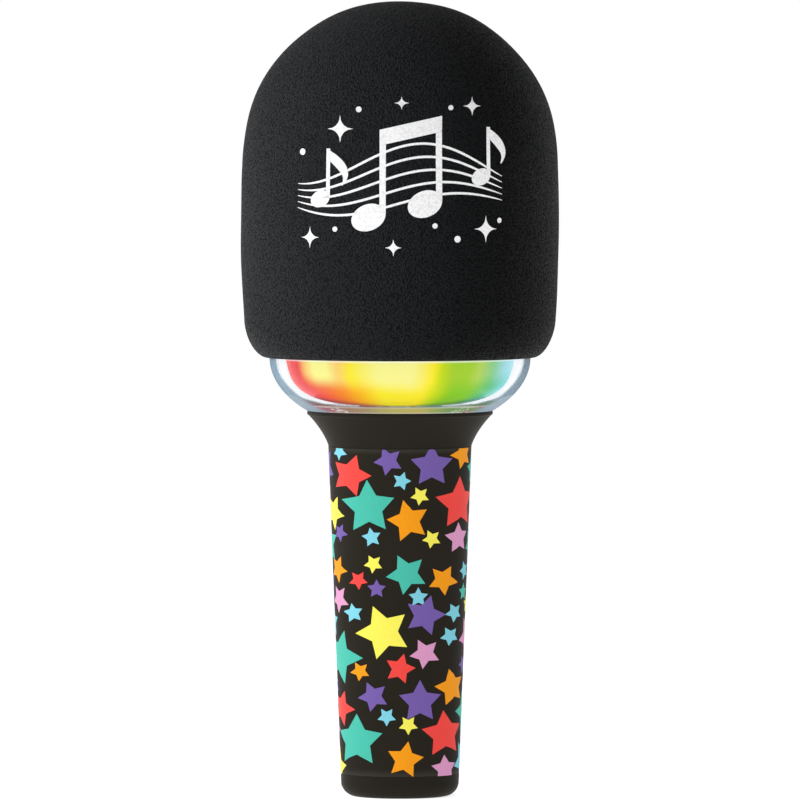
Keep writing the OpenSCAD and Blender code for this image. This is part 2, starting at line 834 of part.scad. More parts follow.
// Chips beside the switches, each by its place along the board and its size, and two capacitors
chip_edge = 4;
chip_x = board_half - chip_edge;
chip_z = z_board + board_len / 2;
sound_chip = [5, 2, 9];
sound_chip_up = 14;
light_chip = [5, 1.6, 7];
light_chip_up = 12;
charge_chip = [5, 2, 10];
charge_chip_down = 10;
chips = [
    [-chip_x, chip_z + sound_chip_up, sound_chip],
    [chip_x, chip_z + light_chip_up, light_chip],
    [chip_x, chip_z - charge_chip_down, charge_chip]
];
capacitor_down = 4;
capacitor_pitch = 8;
capacitor_r = 2.2;
capacitor_h = 3.2;

module board_chips() {
    color("#1c1c1c") {
        for (chip = chips) translate([chip[0], board_back + chip[2][1] / 2, chip[1]])
            cube(chip[2], center = true);
        for (i = [0, 1]) facing_back(-chip_x, chip_z - capacitor_down - i * capacitor_pitch)
            translate([0, 0, board_back]) cylinder(h = capacitor_h, r = capacitor_r);
    }
}

module board_screws() {
    color("silver") at_board_posts() translate([0, 0, board_y]) mirror([0, 0, 1])
        screw(board_screw, board_screw_len);
}

module charge_socket() {
    color("silver") {
        difference() {
            socket_slot(0, board_back, socket_len);
            socket_slot(-socket_wall, board_back + 1.2, socket_len);
        }
        facing_back(0, socket_z) translate([-socket_w / 2 + 1.6, -socket_tongue / 2, board_back + 1])
            cube([socket_w - 3.2, socket_tongue, socket_len - 2]);
    }
}

module switch_cases() {
    color("#4a4a4c") difference() {
        for (i = [0 : button_count - 1])
            translate([0, board_back + switch_h / 2, button_z(i)])
                cube([switch_w, switch_h, switch_w], center = true);
        for (i = [0 : button_count - 1]) facing_back(0, button_z(i))
            translate([0, 0, y_plunger - plunger_out - plunger_in - button_travel - 0.2])
                cylinder(h = far, r = plunger_r + 0.08);
    }
}

module battery_cell() {
    color("#3f7fbf") translate([0, battery_y, z_battery]) {
        cylinder(h = battery_len - battery_cap_h, r = battery_r);
        cylinder(h = battery_len, r = battery_cap_r);
    }
}

module battery_pad() {
    color("#707070") translate([-pad_w / 2, board_y - slip_gap - pad_t, z_battery + saddle_end])
        cube([pad_w, pad_t, battery_len - 2 * saddle_end]);
}

// A button's cap, with the flange that keeps it in and the stem that reaches its switch
module push_button(i) {
    y0 = y_plunger;
    y1 = seat_y(i) - 0.1;
    top = grip_r(button_z(i)) + button_proud;
    edge = 0.5;
    flange_r = button_r + button_flange;
    facing_back(0, button_z(i)) rotate_extrude() polygon([
        [0, y0], [button_stem_r, y0], [button_stem_r, y1 - button_flange_t],
        [flange_r, y1 - button_flange_t], [flange_r, y1], [button_r, y1], [button_r, top - edge],
        [button_r - edge, top], [0, top]
    ]);
}

module switch_plunger(i) {
    facing_back(0, button_z(i)) translate([0, 0, y_plunger - plunger_out - plunger_in])
        cylinder(h = plunger_out + plunger_in, r = plunger_r);
}

// Leads, each from its piece down to the front face of the main board

pad_z = grip_len - 14;
pad_y = board_y - part_gap;
mic_route = [
    [0, 0, z_boot - part_gap], [0, 0, z_boot - 6], [-8, 0, z_boot - 12], [-22, 0, z_boot - 17],
    [-mic_hole_at, 0, z_dome + 3], [-mic_hole_at - 1.5, 0, z_dome - 14],
    [-mic_hole_at - 1.5, 0, z_plate + 18], [-mic_hole_at - 0.2, 0, z_plate + 5],
    [-mic_hole_at, 0, z_base], [2.6 - core_in, 0, z_base - 6], [8 - core_in, 0, z_base - 11],
    [-12, 0, z_floor + 3.2], [-4, 0, z_floor - 1], [-3.6, 0, z_floor - 8],
    [-4.4, 1, grip_len - 3], [-6, 4, pad_z + 2], [-6, pad_y, pad_z]
];
speaker_route = [
    [13.9, 13.9, z_flange - terminal_drop - 0.8], [14.2, 14.2, z_flange - 11], [14.4, 14.4, z_plate + 6],
    [11.5, 9, z_plate + 1.5], [8.4, 2.6, z_plate + 1.2], [6.2, 0.2, z_plate - 0.8], [5.6, 0, z_base - 5],
    [4.4, 0, z_floor + 6], [3.8, 0, z_floor - 1], [3.8, 0, z_floor - 8], [4.4, 1, grip_len - 3],
    [6, 4, pad_z + 2], [6, pad_y, pad_z]
];
led_route = [
    [0, led_board_in + 1.2, z_led_board - part_gap], [0, led_board_in + 0.8, z_led_board - 4],
    [0, 13, z_floor + 5], [0, 6.6, z_floor + 2], [0, 3.4, z_floor - 1.6], [0, 2.6, z_floor - 8],
    [1.8, 2.6, grip_len - 3], [3.6, 4.6, pad_z + 3.8], [3.6, pad_y, pad_z + 3]
];
function battery_route(x) = [
    [x, battery_y, z_battery + battery_len + part_gap], [x, battery_y + 0.4, z_battery + battery_len + 2],
    [x, battery_y + 3, z_battery + battery_len + 4], [x, board_y - 3, z_battery + battery_len + 3],
    [x, pad_y, z_battery + battery_len + 2]
];

module mic_lead() {
    color("#8a8a8a") lead(mic_route, [0, 1, 0.01]);
}

module speaker_lead() {
    color("#c03a30") lead(speaker_route, [-0.7, 0.7, 0.01]);
}

module led_lead() {
    color("#f0f0f0") lead(led_route, [1, 0, 0.01]);
}

module battery_leads() {
    color("#c03a30") for (x = [-1.4, 1.4]) lead(battery_route(x), [1, 0, 0]);
}

foam_windscreen();
grille_basket();
capsule_boot();
mic_capsule();
head_base();
post_screws();
speaker_chamber();
speaker_gasket();
speaker_frame();
speaker_magnet();
speaker_washer();
speaker_yoke();
speaker_surround();
speaker_cone();
speaker_dust_cap();
voice_coil();
speaker_screws();
light_bowl();
light_core();
led_board();
led_lamps();
led_board_screws();
front_shell();
rear_shell();
front_print_film();
rear_print_film();
shell_screws();
main_board();
board_chips();
board_screws();
charge_socket();
switch_cases();
battery_cell();
battery_pad();
color("#c9c9cc") push_button(0);  // power_button
color("#c9c9cc") push_button(1);  // light_button
color("#c9c9cc") push_button(2);  // voice_button
color("#c9c9cc") push_button(3);  // volume_up_button
color("#c9c9cc") push_button(4);  // volume_down_button
color("#d8d8d8") switch_plunger(0);  // power_plunger
color("#d8d8d8") switch_plunger(1);  // light_plunger
color("#d8d8d8") switch_plunger(2);  // voice_plunger
color("#d8d8d8") switch_plunger(3);  // volume_up_plunger
color("#d8d8d8") switch_plunger(4);  // volume_down_plunger
mic_lead();
speaker_lead();
led_lead();
battery_leads();
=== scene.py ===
"""Looks of a hand-held toy microphone: foam head, lit clear bowl, star-printed grip, five buttons behind."""
import math

import bpy
import numpy as np
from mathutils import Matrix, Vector


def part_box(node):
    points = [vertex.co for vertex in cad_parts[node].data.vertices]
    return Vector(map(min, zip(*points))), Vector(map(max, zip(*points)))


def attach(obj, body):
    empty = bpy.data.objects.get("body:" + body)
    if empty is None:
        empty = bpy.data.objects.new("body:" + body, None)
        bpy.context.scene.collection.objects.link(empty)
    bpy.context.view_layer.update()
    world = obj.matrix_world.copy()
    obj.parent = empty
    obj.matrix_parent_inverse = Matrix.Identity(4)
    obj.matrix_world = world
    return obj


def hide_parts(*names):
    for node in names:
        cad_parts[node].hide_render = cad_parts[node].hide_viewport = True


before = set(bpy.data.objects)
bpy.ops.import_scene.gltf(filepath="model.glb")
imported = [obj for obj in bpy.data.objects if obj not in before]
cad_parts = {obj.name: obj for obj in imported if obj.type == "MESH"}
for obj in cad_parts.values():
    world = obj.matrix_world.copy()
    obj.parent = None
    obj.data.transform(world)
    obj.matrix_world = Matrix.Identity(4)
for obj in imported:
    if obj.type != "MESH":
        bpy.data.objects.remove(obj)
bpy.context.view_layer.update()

# Sizes in millimetres, as in the solids; only the foot's round and the bowl's floor are as seen
MM = 0.001
GRIP_LEN, FOOT_R, GRIP_TOP_R, FOOT_ROUND = 106.0, 17.6, 21.6, 4.4
FILM_LOW, FILM_HIGH = 6.85, 105.45
COLLAR_R, COLLAR_LIP, COLLAR_EDGE, FLARE_LEAN = 28.0, 1.2, 0.35, 20.0
Z_LIP, Z_RIM, Z_BASE, Z_DOME = 116.4, 132.5, 137.5, 192.0
HEAD_R, BOWL_WALL, WIRE_HOLE_R = 39.4, 2.5, 8.0
BOWL_TALL = (Z_RIM - Z_LIP) / math.sqrt(1 - (COLLAR_R / HEAD_R) ** 2)
NECK_R, NECK_WALL, HOOK_R, HOOK_LOW, HOOK_HIGH = 20.33, 2.4, 22.53, 112.2, 113.8
CORE_R, CORE_WALL, CORE_TOP, FLOOR_SEEN = 34.6, 1.6, 137.2, 118.2
FOAM_R, FOAM_IN_R, FOAM_REST, FOAM_LIP, FOAM_TUCK = 48.0, 39.8, 0.5, 12.0, 0.9
BUTTON_Z = {"power": 92.0, "light": 79.0, "voice": 66.0, "volume_up": 53.0, "volume_down": 40.0}
BUTTON_R, FLANGE_OUT, FLANGE_THICK, FLANGE_DEEP, STEM_R = 4.4, 1.3, 1.2, 4.1, 2.2
SOCKET_Z = 25.4
SCREW_SPOTS = [(-7.0, 12.0), (7.0, 12.0), (-12.0, 101.0), (12.0, 101.0)]


# Mesh making

def shell_faces(rings, around, poles):
    """Faces of a closed grid: squares between rings of points, closed round each ring. With poles, the first
    and last ring fan out to one point each; without, the last ring joins the first, as on a hoop."""
    size = rings * around
    i = np.arange(rings - 1 if poles else rings)[:, None] * around
    j = np.arange(around)
    up = (i + around) % size
    right = (j + 1) % around
    quads = np.stack([i + j, i + right, up + right, up + j], -1).reshape(-1, 4)
    if not poles:
        return quads, np.zeros((0, 3), int)
    last = size - around
    first_fan = np.stack([np.full(around, size), right, j], -1)
    last_fan = np.stack([np.full(around, size + 1), last + j, last + right], -1)
    return quads, np.concatenate([first_fan, last_fan])


def outwards(points, quads, tris):
    """The faces, turned round where the volume that they enclose is negative: the sum over triangles of
    a . (b x c)."""
    corners = np.concatenate([quads[:, [0, 1, 2]], quads[:, [0, 2, 3]], tris])
    a, b, c = (points[corners[:, i]] for i in range(3))
    if np.einsum("ij,ij->i", a, np.cross(b, c)).sum() < 0:
        return quads[:, ::-1], tris[:, ::-1]
    return quads, tris


def put_mesh(name, points, quads, tris, sharp):
    """Mesh of points in millimetres, smooth but for edges that bend by more than sharp degrees."""
    mesh = bpy.data.meshes.new(name)
    mesh.vertices.add(len(points))
    mesh.vertices.foreach_set("co", (points * MM).astype(np.float32).ravel())
    mesh.loops.add(quads.size + tris.size)
    mesh.loops.foreach_set("vertex_index", np.concatenate([quads.ravel(), tris.ravel()]).astype(np.int32))
    counts = np.concatenate([np.full(len(quads), 4), np.full(len(tris), 3)])
    mesh.polygons.add(len(counts))
    mesh.polygons.foreach_set("loop_start", (np.cumsum(counts) - counts).astype(np.int32))
    mesh.polygons.foreach_set("use_smooth", np.ones(len(counts), bool))
    mesh.update(calc_edges=True)
    mesh.set_sharp_from_angle(angle=math.radians(sharp))
    thing = bpy.data.objects.new(name, mesh)
    bpy.context.scene.collection.objects.link(thing)
    return thing


def piece(name, patches, body, coat, stands_for=(), sharp=40.0):
    """One piece out of closed patches, each given by its rows[ring, around, xyz] and, where its rings close
    on points, by its poles[end, xyz]. It rides on a body, and stands for the nodes named."""
    points, quads, tris, base = [], [], [], 0
    for rows, poles in patches:
        mine = rows.reshape(-1, 3) if poles is None else np.concatenate([rows.reshape(-1, 3), poles])
        squares, fans = outwards(mine, *shell_faces(*rows.shape[:2], poles is not None))
        points.append(mine)
        quads.append(squares + base)
        tris.append(fans + base)
        base += len(mine)
    thing = put_mesh(name, np.concatenate(points), np.concatenate(quads), np.concatenate(tris), sharp)
    thing.data.materials.append(coat)
    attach(thing, body)
    if stands_for:
        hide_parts(*stands_for)
    return thing


def full_turn(count):
    """Angles once round, evenly spaced from 0."""
    return np.arange(count) * 2 * np.pi / count


def polar(r, turn, z):
    """Places by radius, turn about Z from the front, and height: x = r sin(turn) and y = -r cos(turn)."""
    return np.stack(np.broadcast_arrays(r * np.sin(turn), -r * np.cos(turn), z), -1)


def revolve(profile, around):
    """Turns (radius, height) points about the Z axis."""
    return polar(profile[:, :1], full_turn(around), profile[:, 1:])


def hoop(name, profile, around, coat, stands_for=(), sharp=50.0):
    """A piece of the fixed body from a closed profile turned about the Z axis."""
    piece(name, [(revolve(profile, around), None)], "microphone", coat, stands_for, sharp)


def oval(centre, half, start, stop, count):
    """Points along an ellipse with the two half widths, between two angles in degrees."""
    t = np.radians(np.linspace(start, stop, count))
    return np.stack([centre[0] + half[0] * np.cos(t), centre[1] + half[1] * np.sin(t)], -1)


def run(*points, gap):
    """Straight runs between points, cut into lengths of about gap."""
    parts = []
    for a, b in zip(points, points[1:]):
        count = max(1, int(round(math.dist(a, b) / gap)))
        s = np.linspace(0, 1, count, endpoint=False)[:, None]
        parts.append(np.array(a) * (1 - s) + np.array(b) * s)
    return np.concatenate(parts + [np.array([points[-1]])])


def grip_radius(z):
    """Radius of the grip's taper at a height."""
    return FOOT_R + (GRIP_TOP_R - FOOT_R) * z / GRIP_LEN


# Shader making

WHITE, BLACK = (1, 1, 1, 1), (0, 0, 0, 1)


def srgb(r, g, b):
    """A colour given as it shows on a screen, 0 to 255, as the shader's own light values."""
    c = np.array([r, g, b]) / 255
    light = np.where(c <= 0.04045, c / 12.92, ((c + 0.055) / 1.055) ** 2.4)
    return (*map(float, light), 1.0)


def shade_of(colour, share):
    """A colour as it shows on a screen, made darker or lighter by a share."""
    return (*(min(1.0, c * share) for c in srgb(*colour)[:3]), 1.0)


class Shade:
    """A shader value: wraps one socket, and arithmetic with it adds Math nodes to its material. The one that
    the finishes call m has no socket, and only adds nodes."""

    def __init__(self, tree, socket=None):
        self.tree, self.socket = tree, socket

    def node(self, kind, settings=None, inputs=None, out=0):
        """Adds any node: first its settings, with a ramp's stops, then the values or links of its sockets."""
        made = self.tree.nodes.new("ShaderNode" + kind)
        for key, value in (settings or {}).items():
            if key == "stops":
                ramp = made.color_ramp.elements
                ramp[0].position, ramp[0].color = value[0]
                ramp[1].position, ramp[1].color = value[-1]
                for place, colour in value[1:-1]:
                    ramp.new(place).color = colour
            else:
                setattr(made, key, value)
        for key, value in (inputs or {}).items():
            if isinstance(value, Shade):
                self.tree.links.new(value.socket, made.inputs[key])
            else:
                made.inputs[key].default_value = value
        return Shade(self.tree, made.outputs[out])

    def math(self, operation, a, b=0.0):
        """One Math node."""
        return self.node("Math", {"operation": operation}, {0: a, 1: b})

    def __add__(self, other):
        return self.math("ADD", self, other)

    def __sub__(self, other):
        return self.math("SUBTRACT", self, other)

    def __mul__(self, other):
        return self.math("MULTIPLY", self, other)

    def __rsub__(self, other):
        return self.math("SUBTRACT", other, self)

    __radd__ = __add__

    def spot(self, stretch=None):
        """Place on the object, stretched along X, Y and Z where asked."""
        place = self.node("TexCoord", out="Object")
        return place if stretch is None else self.node("Mapping", {}, {"Vector": place, "Scale": stretch})

    def along(self, axis):
        """Place on the object along X, Y or Z, in millimetres."""
        return self.node("SeparateXYZ", {}, {0: self.spot()}, axis) * (1 / MM)

    def noise(self, size, detail=2.0, stretch=None):
        """Soft noise, 0 to 1, with lumps of about this size in millimetres."""
        spot = self.spot(stretch)
        return self.node("TexNoise", {}, {"Vector": spot, "Scale": 1 / (size * MM), "Detail": detail})

    def cells(self, size):
        """Distance to the nearest of scattered points about this many millimetres apart, 0 to about 1."""
        return self.node("TexVoronoi", {}, {"Vector": self.spot(), "Scale": 1 / (size * MM)})

    def ease(self, value, low, high):
        """0 below low, 1 above high, smooth between."""
        return self.node("MapRange", {"interpolation_type": "SMOOTHSTEP"}, {0: value, 1: low, 2: high})

    def mix(self, share, a, b):
        """Colour a where share is 0 and b where it is 1."""
        return self.node("Mix", {"data_type": "RGBA"}, {0: share, 6: a, 7: b}, 2)

    def bump(self, height, depth, strength=1.0):
        """Surface normal from a height, with depth in millimetres."""
        return self.node("Bump", {}, {"Strength": strength, "Distance": depth * MM, "Height": height})


def finish(name, looks, **fixed):
    """A material: fixed numbers are set on the shader's own sockets, and looks gives what varies."""
    made = bpy.data.materials.new(name)
    made.use_nodes = True
    shader = made.node_tree.nodes["Principled BSDF"]
    for key, value in fixed.items():
        shader.inputs[key.replace("_", " ")].default_value = value
    for key, value in looks(Shade(made.node_tree)).items():
        made.node_tree.links.new(value.socket, shader.inputs[key])
    return made


def moulded(name, colour, rough, grain, depth, spec=0.3):
    """Moulded, pressed or painted material: cloudy colour, a fine grain and uneven gloss."""
    def looks(m):
        cloud, fine = m.noise(14, 3), m.noise(grain)
        tint = m.mix(cloud * 0.6 + fine * 0.4, shade_of(colour, 0.8), shade_of(colour, 1.2))
        return {"Base Color": tint, "Roughness": rough - 0.08 + cloud * 0.1 + fine * 0.06,
                "Normal": m.bump(fine, depth)}
    return finish(name, looks, Specular_IOR_Level=spec)


def metal(name, colour, rough, stretch=(1, 1, 12)):
    """Plated or drawn metal: fine lines along one axis, dulled in patches."""
    def looks(m):
        lines, dull = m.noise(0.35, 2, stretch), m.noise(5, 3)
        tint = m.mix(dull * 0.7 + lines * 0.3, shade_of(colour, 0.72), shade_of(colour, 1.15))
        return {"Base Color": tint, "Roughness": rough - 0.1 + dull * 0.16 + lines * 0.08,
                "Normal": m.bump(lines, 0.004)}
    return finish(name, looks, Metallic=1.0)


# Finishes of the foam, the grip and its print

PARTING_LINE = 0.05, 0.16
# Lengths in millimetres of the painted highlight at the film's lower and upper ends
END_HIGHLIGHT_LOW, END_HIGHLIGHT_HIGH = 2.4, 1.8
PEEL, PEEL_DEEP = 2.2, 0.012


def foam_looks(m):
    """Open-cell foam: rounded pebbles about 0.6 mm apart with dark pores between them."""
    pebbles, pores, drift = m.cells(0.6), m.noise(0.4, 3), m.noise(26)
    pit = m.ease(pebbles * 0.9 + pores * 0.3, 0.35, 0.9)
    tint = m.mix(pit * 0.75, srgb(19, 20, 21), srgb(4, 4, 5))
    tint = m.mix(drift * 0.25, tint, srgb(10, 11, 12))
    return {"Base Color": tint, "Roughness": 0.48 + pit * 0.4,
            "Normal": m.bump(1 - pebbles * 0.9 - pores * 0.4, 0.5)}


def head_print_looks(m):
    """White ink on the foam: the foam's pebbles show through as faint grey flecks."""
    pebbles, pores = m.cells(0.72), m.noise(0.34, 3)
    fleck = m.ease(pebbles * 0.6 + pores * 0.5, 0.35, 0.95)
    return {"Base Color": m.mix(fleck, srgb(248, 248, 248), srgb(222, 222, 224)),
            "Roughness": 0.62 + pores * 0.2, "Normal": m.bump(1 - pebbles * 0.6 - pores * 0.4, 0.12, 0.6)}


def shell_looks(m):
    """Satin brown-black plastic with a spark-eroded grain, and a fine line where the half shells meet."""
    fine, cloud = m.noise(0.45), m.noise(18, 3)
    seam = 1 - m.ease(m.math("ABSOLUTE", m.along("Y")), *PARTING_LINE)
    tint = m.mix(cloud * 0.6 + fine * 0.4, srgb(32, 29, 24), srgb(40, 37, 31))
    return {"Base Color": m.mix(seam, tint, srgb(6, 5, 5)), "Roughness": 0.4 + cloud * 0.1 + fine * 0.08,
            "Normal": m.bump(fine * 0.2 - seam, 0.08)}


def film_looks(m):
    """Black printed film: smooth, with slight orange peel, patches dulled by hands, and a painted highlight
    at each end.
    """
    peel, rub, z = m.noise(PEEL, 1), m.noise(22, 4), m.along("Z")
    inside = m.ease(z, FILM_LOW, FILM_LOW + END_HIGHLIGHT_LOW) - m.ease(z, FILM_HIGH - END_HIGHLIGHT_HIGH, FILM_HIGH)
    tint = m.mix(rub, srgb(35, 32, 26), srgb(42, 38, 32))
    # Painted highlight: the film turns paler towards its two ends
    tint = m.mix((1 - inside) * (0.4 + rub * 0.4), tint, srgb(62, 60, 54))
    return {"Base Color": tint, "Roughness": 0.38 + rub * 0.16, "Normal": m.bump(peel, PEEL_DEEP)}


def ink(name, colour):
    """Screen-printed ink: even colour with a faint mottle and the film's orange peel."""
    def looks(m):
        mottle, peel = m.noise(0.7, 3), m.noise(PEEL, 1)
        tint = m.mix(mottle, shade_of(colour, 0.93), shade_of(colour, 1.06))
        return {"Base Color": tint, "Roughness": 0.42 + mottle * 0.12, "Normal": m.bump(peel, PEEL_DEEP)}
    return finish(name, looks, Specular_IOR_Level=0.06)


# Coloured light and the clear bowl

LAMP_HUES = {
    "violet": (104, 60, 215), "magenta": (220, 40, 170), "red": (232, 44, 48), "scarlet": (242, 92, 44),
    "orange": (247, 140, 20), "gold": (250, 190, 16), "yellow": (252, 232, 40), "cream": (249, 243, 142),
    "peach": (252, 206, 112), "lime": (196, 216, 14), "green": (132, 198, 24), "fern": (164, 206, 46),
    "sprout": (182, 212, 88), "mint": (136, 204, 136), "jade": (78, 188, 120), "turquoise": (86, 196, 196),
    "aqua": (156, 216, 226), "blue": (60, 104, 236)}


def hues_round(**turns):
    """Ramp stops all the way round: each hue at its degrees to the right of the front, closed at the back."""
    stops = [(turn, name) for name, places in turns.items() for turn in places]
    return [(0.5 + turn / 360, srgb(*LAMP_HUES[name])) for turn, name in sorted(stops)]


# Painted highlight: the rim's ramp turns peach and cream from 55 to 33 degrees left of the front
GLOW_HIGH = hues_round(
    violet=(-180, 180), magenta=(-128,), red=(-95, -63), peach=(-55, -33), cream=(-49, -40, -11, 7),
    yellow=(-26, 17), lime=(22,), fern=(28, 38), sprout=(44,), mint=(54,), aqua=(66, 92), blue=(135,))
GLOW_LOW = hues_round(
    violet=(-180, 180), magenta=(-128,), red=(-95, -60), scarlet=(-48,), orange=(-34,), gold=(-22,),
    yellow=(-12, 13), lime=(21,), green=(29, 44), jade=(58,), turquoise=(74, 96), blue=(135,))

# Heights in millimetres between which the light and the bowl's foot change, and how far some of them shift.
# The glow's rim highlight and foot shade, and the bowl foot's dark and pale streaks and glints, are painted.
HUES_MEET, HUES_RISE, HUES_STIR = (122.0, 127.3), 4.0, 2.0
GLOW_FOOT_SHADE, GLOW_RIM_HIGHLIGHT, SIDE_RISE = (118.3, 119.4), (131.6, 132.0), 2.7
WALL_FOOT, WALL_WIDE, GLINT_TOP, DARK_STREAK = (118.1, 119.1), (119.2, 121.2), (118.2, 118.4), (118.5, 118.8)
PALE_FROM, PALE_TO, PALE_FOOT = (118.0, 118.2), (118.4, 118.6), (116.6, 116.9)


def off_axis(m):
    """Distance from the Z axis, in millimetres."""
    x, y = m.along("X"), m.along("Y")
    return m.math("SQRT", x * x + y * y)


def glow_tint(m):
    """Hue of the light by the angle round the axis, from a ramp for the foot to one for the rim, which meet
    higher up towards the sides, and the cloud that stirs it."""
    x, y, cloud = m.along("X"), m.along("Y"), m.noise(9)
    stir = cloud - 0.5
    turn = m.math("ARCTAN2", x, 0 - y) * (0.5 / math.pi) + 0.5 + stir * 0.012
    low, high = (m.node("ValToRGB", {"stops": stops}, {0: turn}) for stops in (GLOW_LOW, GLOW_HIGH))
    aside = 1 + m.math("DIVIDE", y, off_axis(m))
    return m.mix(m.ease(m.along("Z") - aside * HUES_RISE + stir * HUES_STIR, *HUES_MEET), low, high), cloud


def glow_looks(m):
    """Milky plastic lit from inside: faintly cloudy, with a painted highlight at the rim, and painted shade
    along the foot, which rises to the left and right by the square of the share of the radius that lies to
    the side."""
    tint, cloud = glow_tint(m)
    z, share = m.along("Z"), m.math("DIVIDE", m.along("X"), off_axis(m))
    # Painted highlight along the rim, then painted shade along the foot
    tint = m.mix(m.ease(z, *GLOW_RIM_HIGHLIGHT) * 0.5, tint, WHITE)
    tint = m.mix((1 - m.ease(z - share * share * SIDE_RISE, *GLOW_FOOT_SHADE)) * 0.45, tint, srgb(70, 62, 58))
    return {"Base Color": m.mix(0.8, tint, BLACK), "Emission Color": tint, "Roughness": 0.3 + cloud * 0.1}


def clear_looks(m):
    """Polished clear plastic: a faint cool tint and slight flow marks."""
    flow = m.noise(30, 2, (1, 1, 3))
    return {"Base Color": m.mix(flow, srgb(246, 249, 251), srgb(251, 253, 254)), "Roughness": flow * 0.03,
            "Normal": m.bump(flow, 0.004, 0.4)}


def painted_stray_light(m, facing):
    """Painted light in the bowl's thick foot, standing in for refraction: the lamps' hues, greyed, in level
    dark and pale streaks, with painted glints and a painted grey-blue end where the wall turns away."""
    z = m.along("Z")
    light = m.mix(0.35 + m.ease(m.along("X"), 0, -12) * 0.25, glow_tint(m)[0], srgb(128, 130, 134))
    light = m.mix(m.ease(z, *DARK_STREAK) * 0.5, light, srgb(40, 36, 36))
    pale = m.ease(z, *PALE_FROM) - m.ease(z, *PALE_TO) + 1 - m.ease(z, *PALE_FOOT)
    light = m.mix(pale * (0.1 + m.noise(7) * 0.8), light, srgb(255, 255, 250))
    # Painted glints, white turning pink, just before the wall turns edge on
    glint = m.ease(facing, 0.56, 0.6) * (1 - m.ease(z, *GLINT_TOP)) * m.ease(m.noise(1.1, 1), 0.5, 0.6)
    light = m.mix(glint, light, m.mix(m.ease(facing, 0.62, 0.64), WHITE, srgb(214, 96, 150)))
    return m.mix(m.ease(facing, 0.65, 0.76), light, srgb(173, 199, 216))


def clear_plastic():
    """Clear plastic, with painted blue-grey shade where its outer wall is seen edge on and painted light in
    its foot: a mix of two shaders, by the angle of view and by the place on the wall. The outer wall is where
    (r / R)^2 + (depth / height)^2 of the bowl's ellipse is close to 1."""
    made = finish("bowl_clear", clear_looks, Transmission_Weight=1.0, IOR=1.12, Specular_IOR_Level=0.05)
    m = Shade(made.node_tree)
    z, out = m.along("Z"), off_axis(m)
    depth = (Z_RIM - z) * (1 / BOWL_TALL)
    outer = m.ease(out * out * HEAD_R ** -2 + depth * depth, 0.95, 0.97)
    facing = m.node("LayerWeight", {}, {"Blend": 0.5}, 1)
    foot = (1 - m.ease(z - m.ease(facing, 0.45, 0.85) * SIDE_RISE, *WALL_FOOT)) * outer
    # Painted shade: the blue-grey of the wall seen edge on; its emission is the painted light in the foot
    grey = m.mix(m.noise(12), srgb(84, 115, 136), srgb(100, 130, 148))
    wall = m.node("BsdfPrincipled", {}, {
        "Base Color": m.mix(foot, grey, (0.05, 0.05, 0.05, 1)), "Roughness": 0.8, "Specular IOR Level": 0.0,
        "Emission Color": m.mix(foot, BLACK, painted_stray_light(m, facing)), "Emission Strength": 0.62})
    front = 1 - m.node("NewGeometry", out="Backfacing")
    edge_on = m.ease(facing + (1 - m.ease(z, *WALL_WIDE)) * 0.1, 0.64, 0.72) * outer * 0.85
    edge_on = edge_on + m.ease(facing, 0.84, 0.92) * (1 - outer) * 0.25
    share = m.math("MAXIMUM", edge_on, foot * 0.94) * front
    glass = Shade(m.tree, m.tree.nodes["Principled BSDF"].outputs[0])
    both = m.node("MixShader", {}, {0: share, 1: glass, 2: wall})
    m.tree.links.new(both.socket, m.tree.nodes["Material Output"].inputs["Surface"])
    return made


# Finishes of the pieces inside, and which finish each slot takes

def copper_looks(m):
    """Fine enamelled wire wound round and round: ridges stacked along the axis."""
    wave = {"Vector": m.spot(), "Scale": 900, "Distortion": 0.2}
    turns = m.node("TexWave", {"bands_direction": "Z"}, wave)
    return {"Base Color": m.mix(turns, srgb(120, 58, 24), srgb(206, 122, 66)),
            "Roughness": 0.28 + turns * 0.15, "Normal": m.bump(turns, 0.06)}


def board_looks(low, high):
    """Solder mask over copper tracks: straight tracks show as slightly lighter raised bands."""
    def looks(m):
        bands = {"Vector": m.spot(), "Scale": 420, "Mortar Size": 0.02}
        tracks = m.node("TexBrick", {"offset": 0.37, "squash": 1.4}, bands, 1)
        weave = m.noise(0.6)
        return {"Base Color": m.mix(tracks * 0.6 + weave * 0.3, low, high),
                "Roughness": 0.34 + weave * 0.14, "Normal": m.bump(tracks, 0.03)}
    return looks


def lamp_looks(m):
    """Lit lamps: white with cloudy, warmer patches."""
    fleck, cloud = m.noise(0.5), m.noise(4)
    return {"Base Color": m.mix(cloud, srgb(255, 250, 226), srgb(250, 236, 160)),
            "Roughness": 0.25 + fleck * 0.2,
            "Emission Color": m.mix(cloud, srgb(255, 252, 240), srgb(255, 244, 200))}


STAR_INKS = {name: ink("star_" + name, colour) for name, colour in {
    "coral": (236, 72, 66), "teal": (72, 184, 164), "orange": (240, 152, 22), "violet": (114, 90, 162),
    "sky": (124, 202, 219), "lemon": (242, 233, 90), "pink": (215, 150, 190)}.items()}
FOAM = finish("windscreen_foam", foam_looks, Specular_IOR_Level=0.05, Sheen_Weight=0.01, Sheen_Roughness=0.35)
HEAD_PRINT = finish("head_print_white", head_print_looks, Specular_IOR_Level=0.2)
SHELL = finish("grip_shell", shell_looks, Specular_IOR_Level=0.03)
FILM = finish("grip_film", film_looks, Specular_IOR_Level=0.02)
GLOW = finish("diffuser_glow", glow_looks, Emission_Strength=0.86, Specular_IOR_Level=0.05)
CLEAR = clear_plastic()
BUTTON = moulded("button_cap", (188, 190, 194), 0.42, 0.6, 0.015, 0.4)
ICON = ink("button_icon", (44, 44, 48))

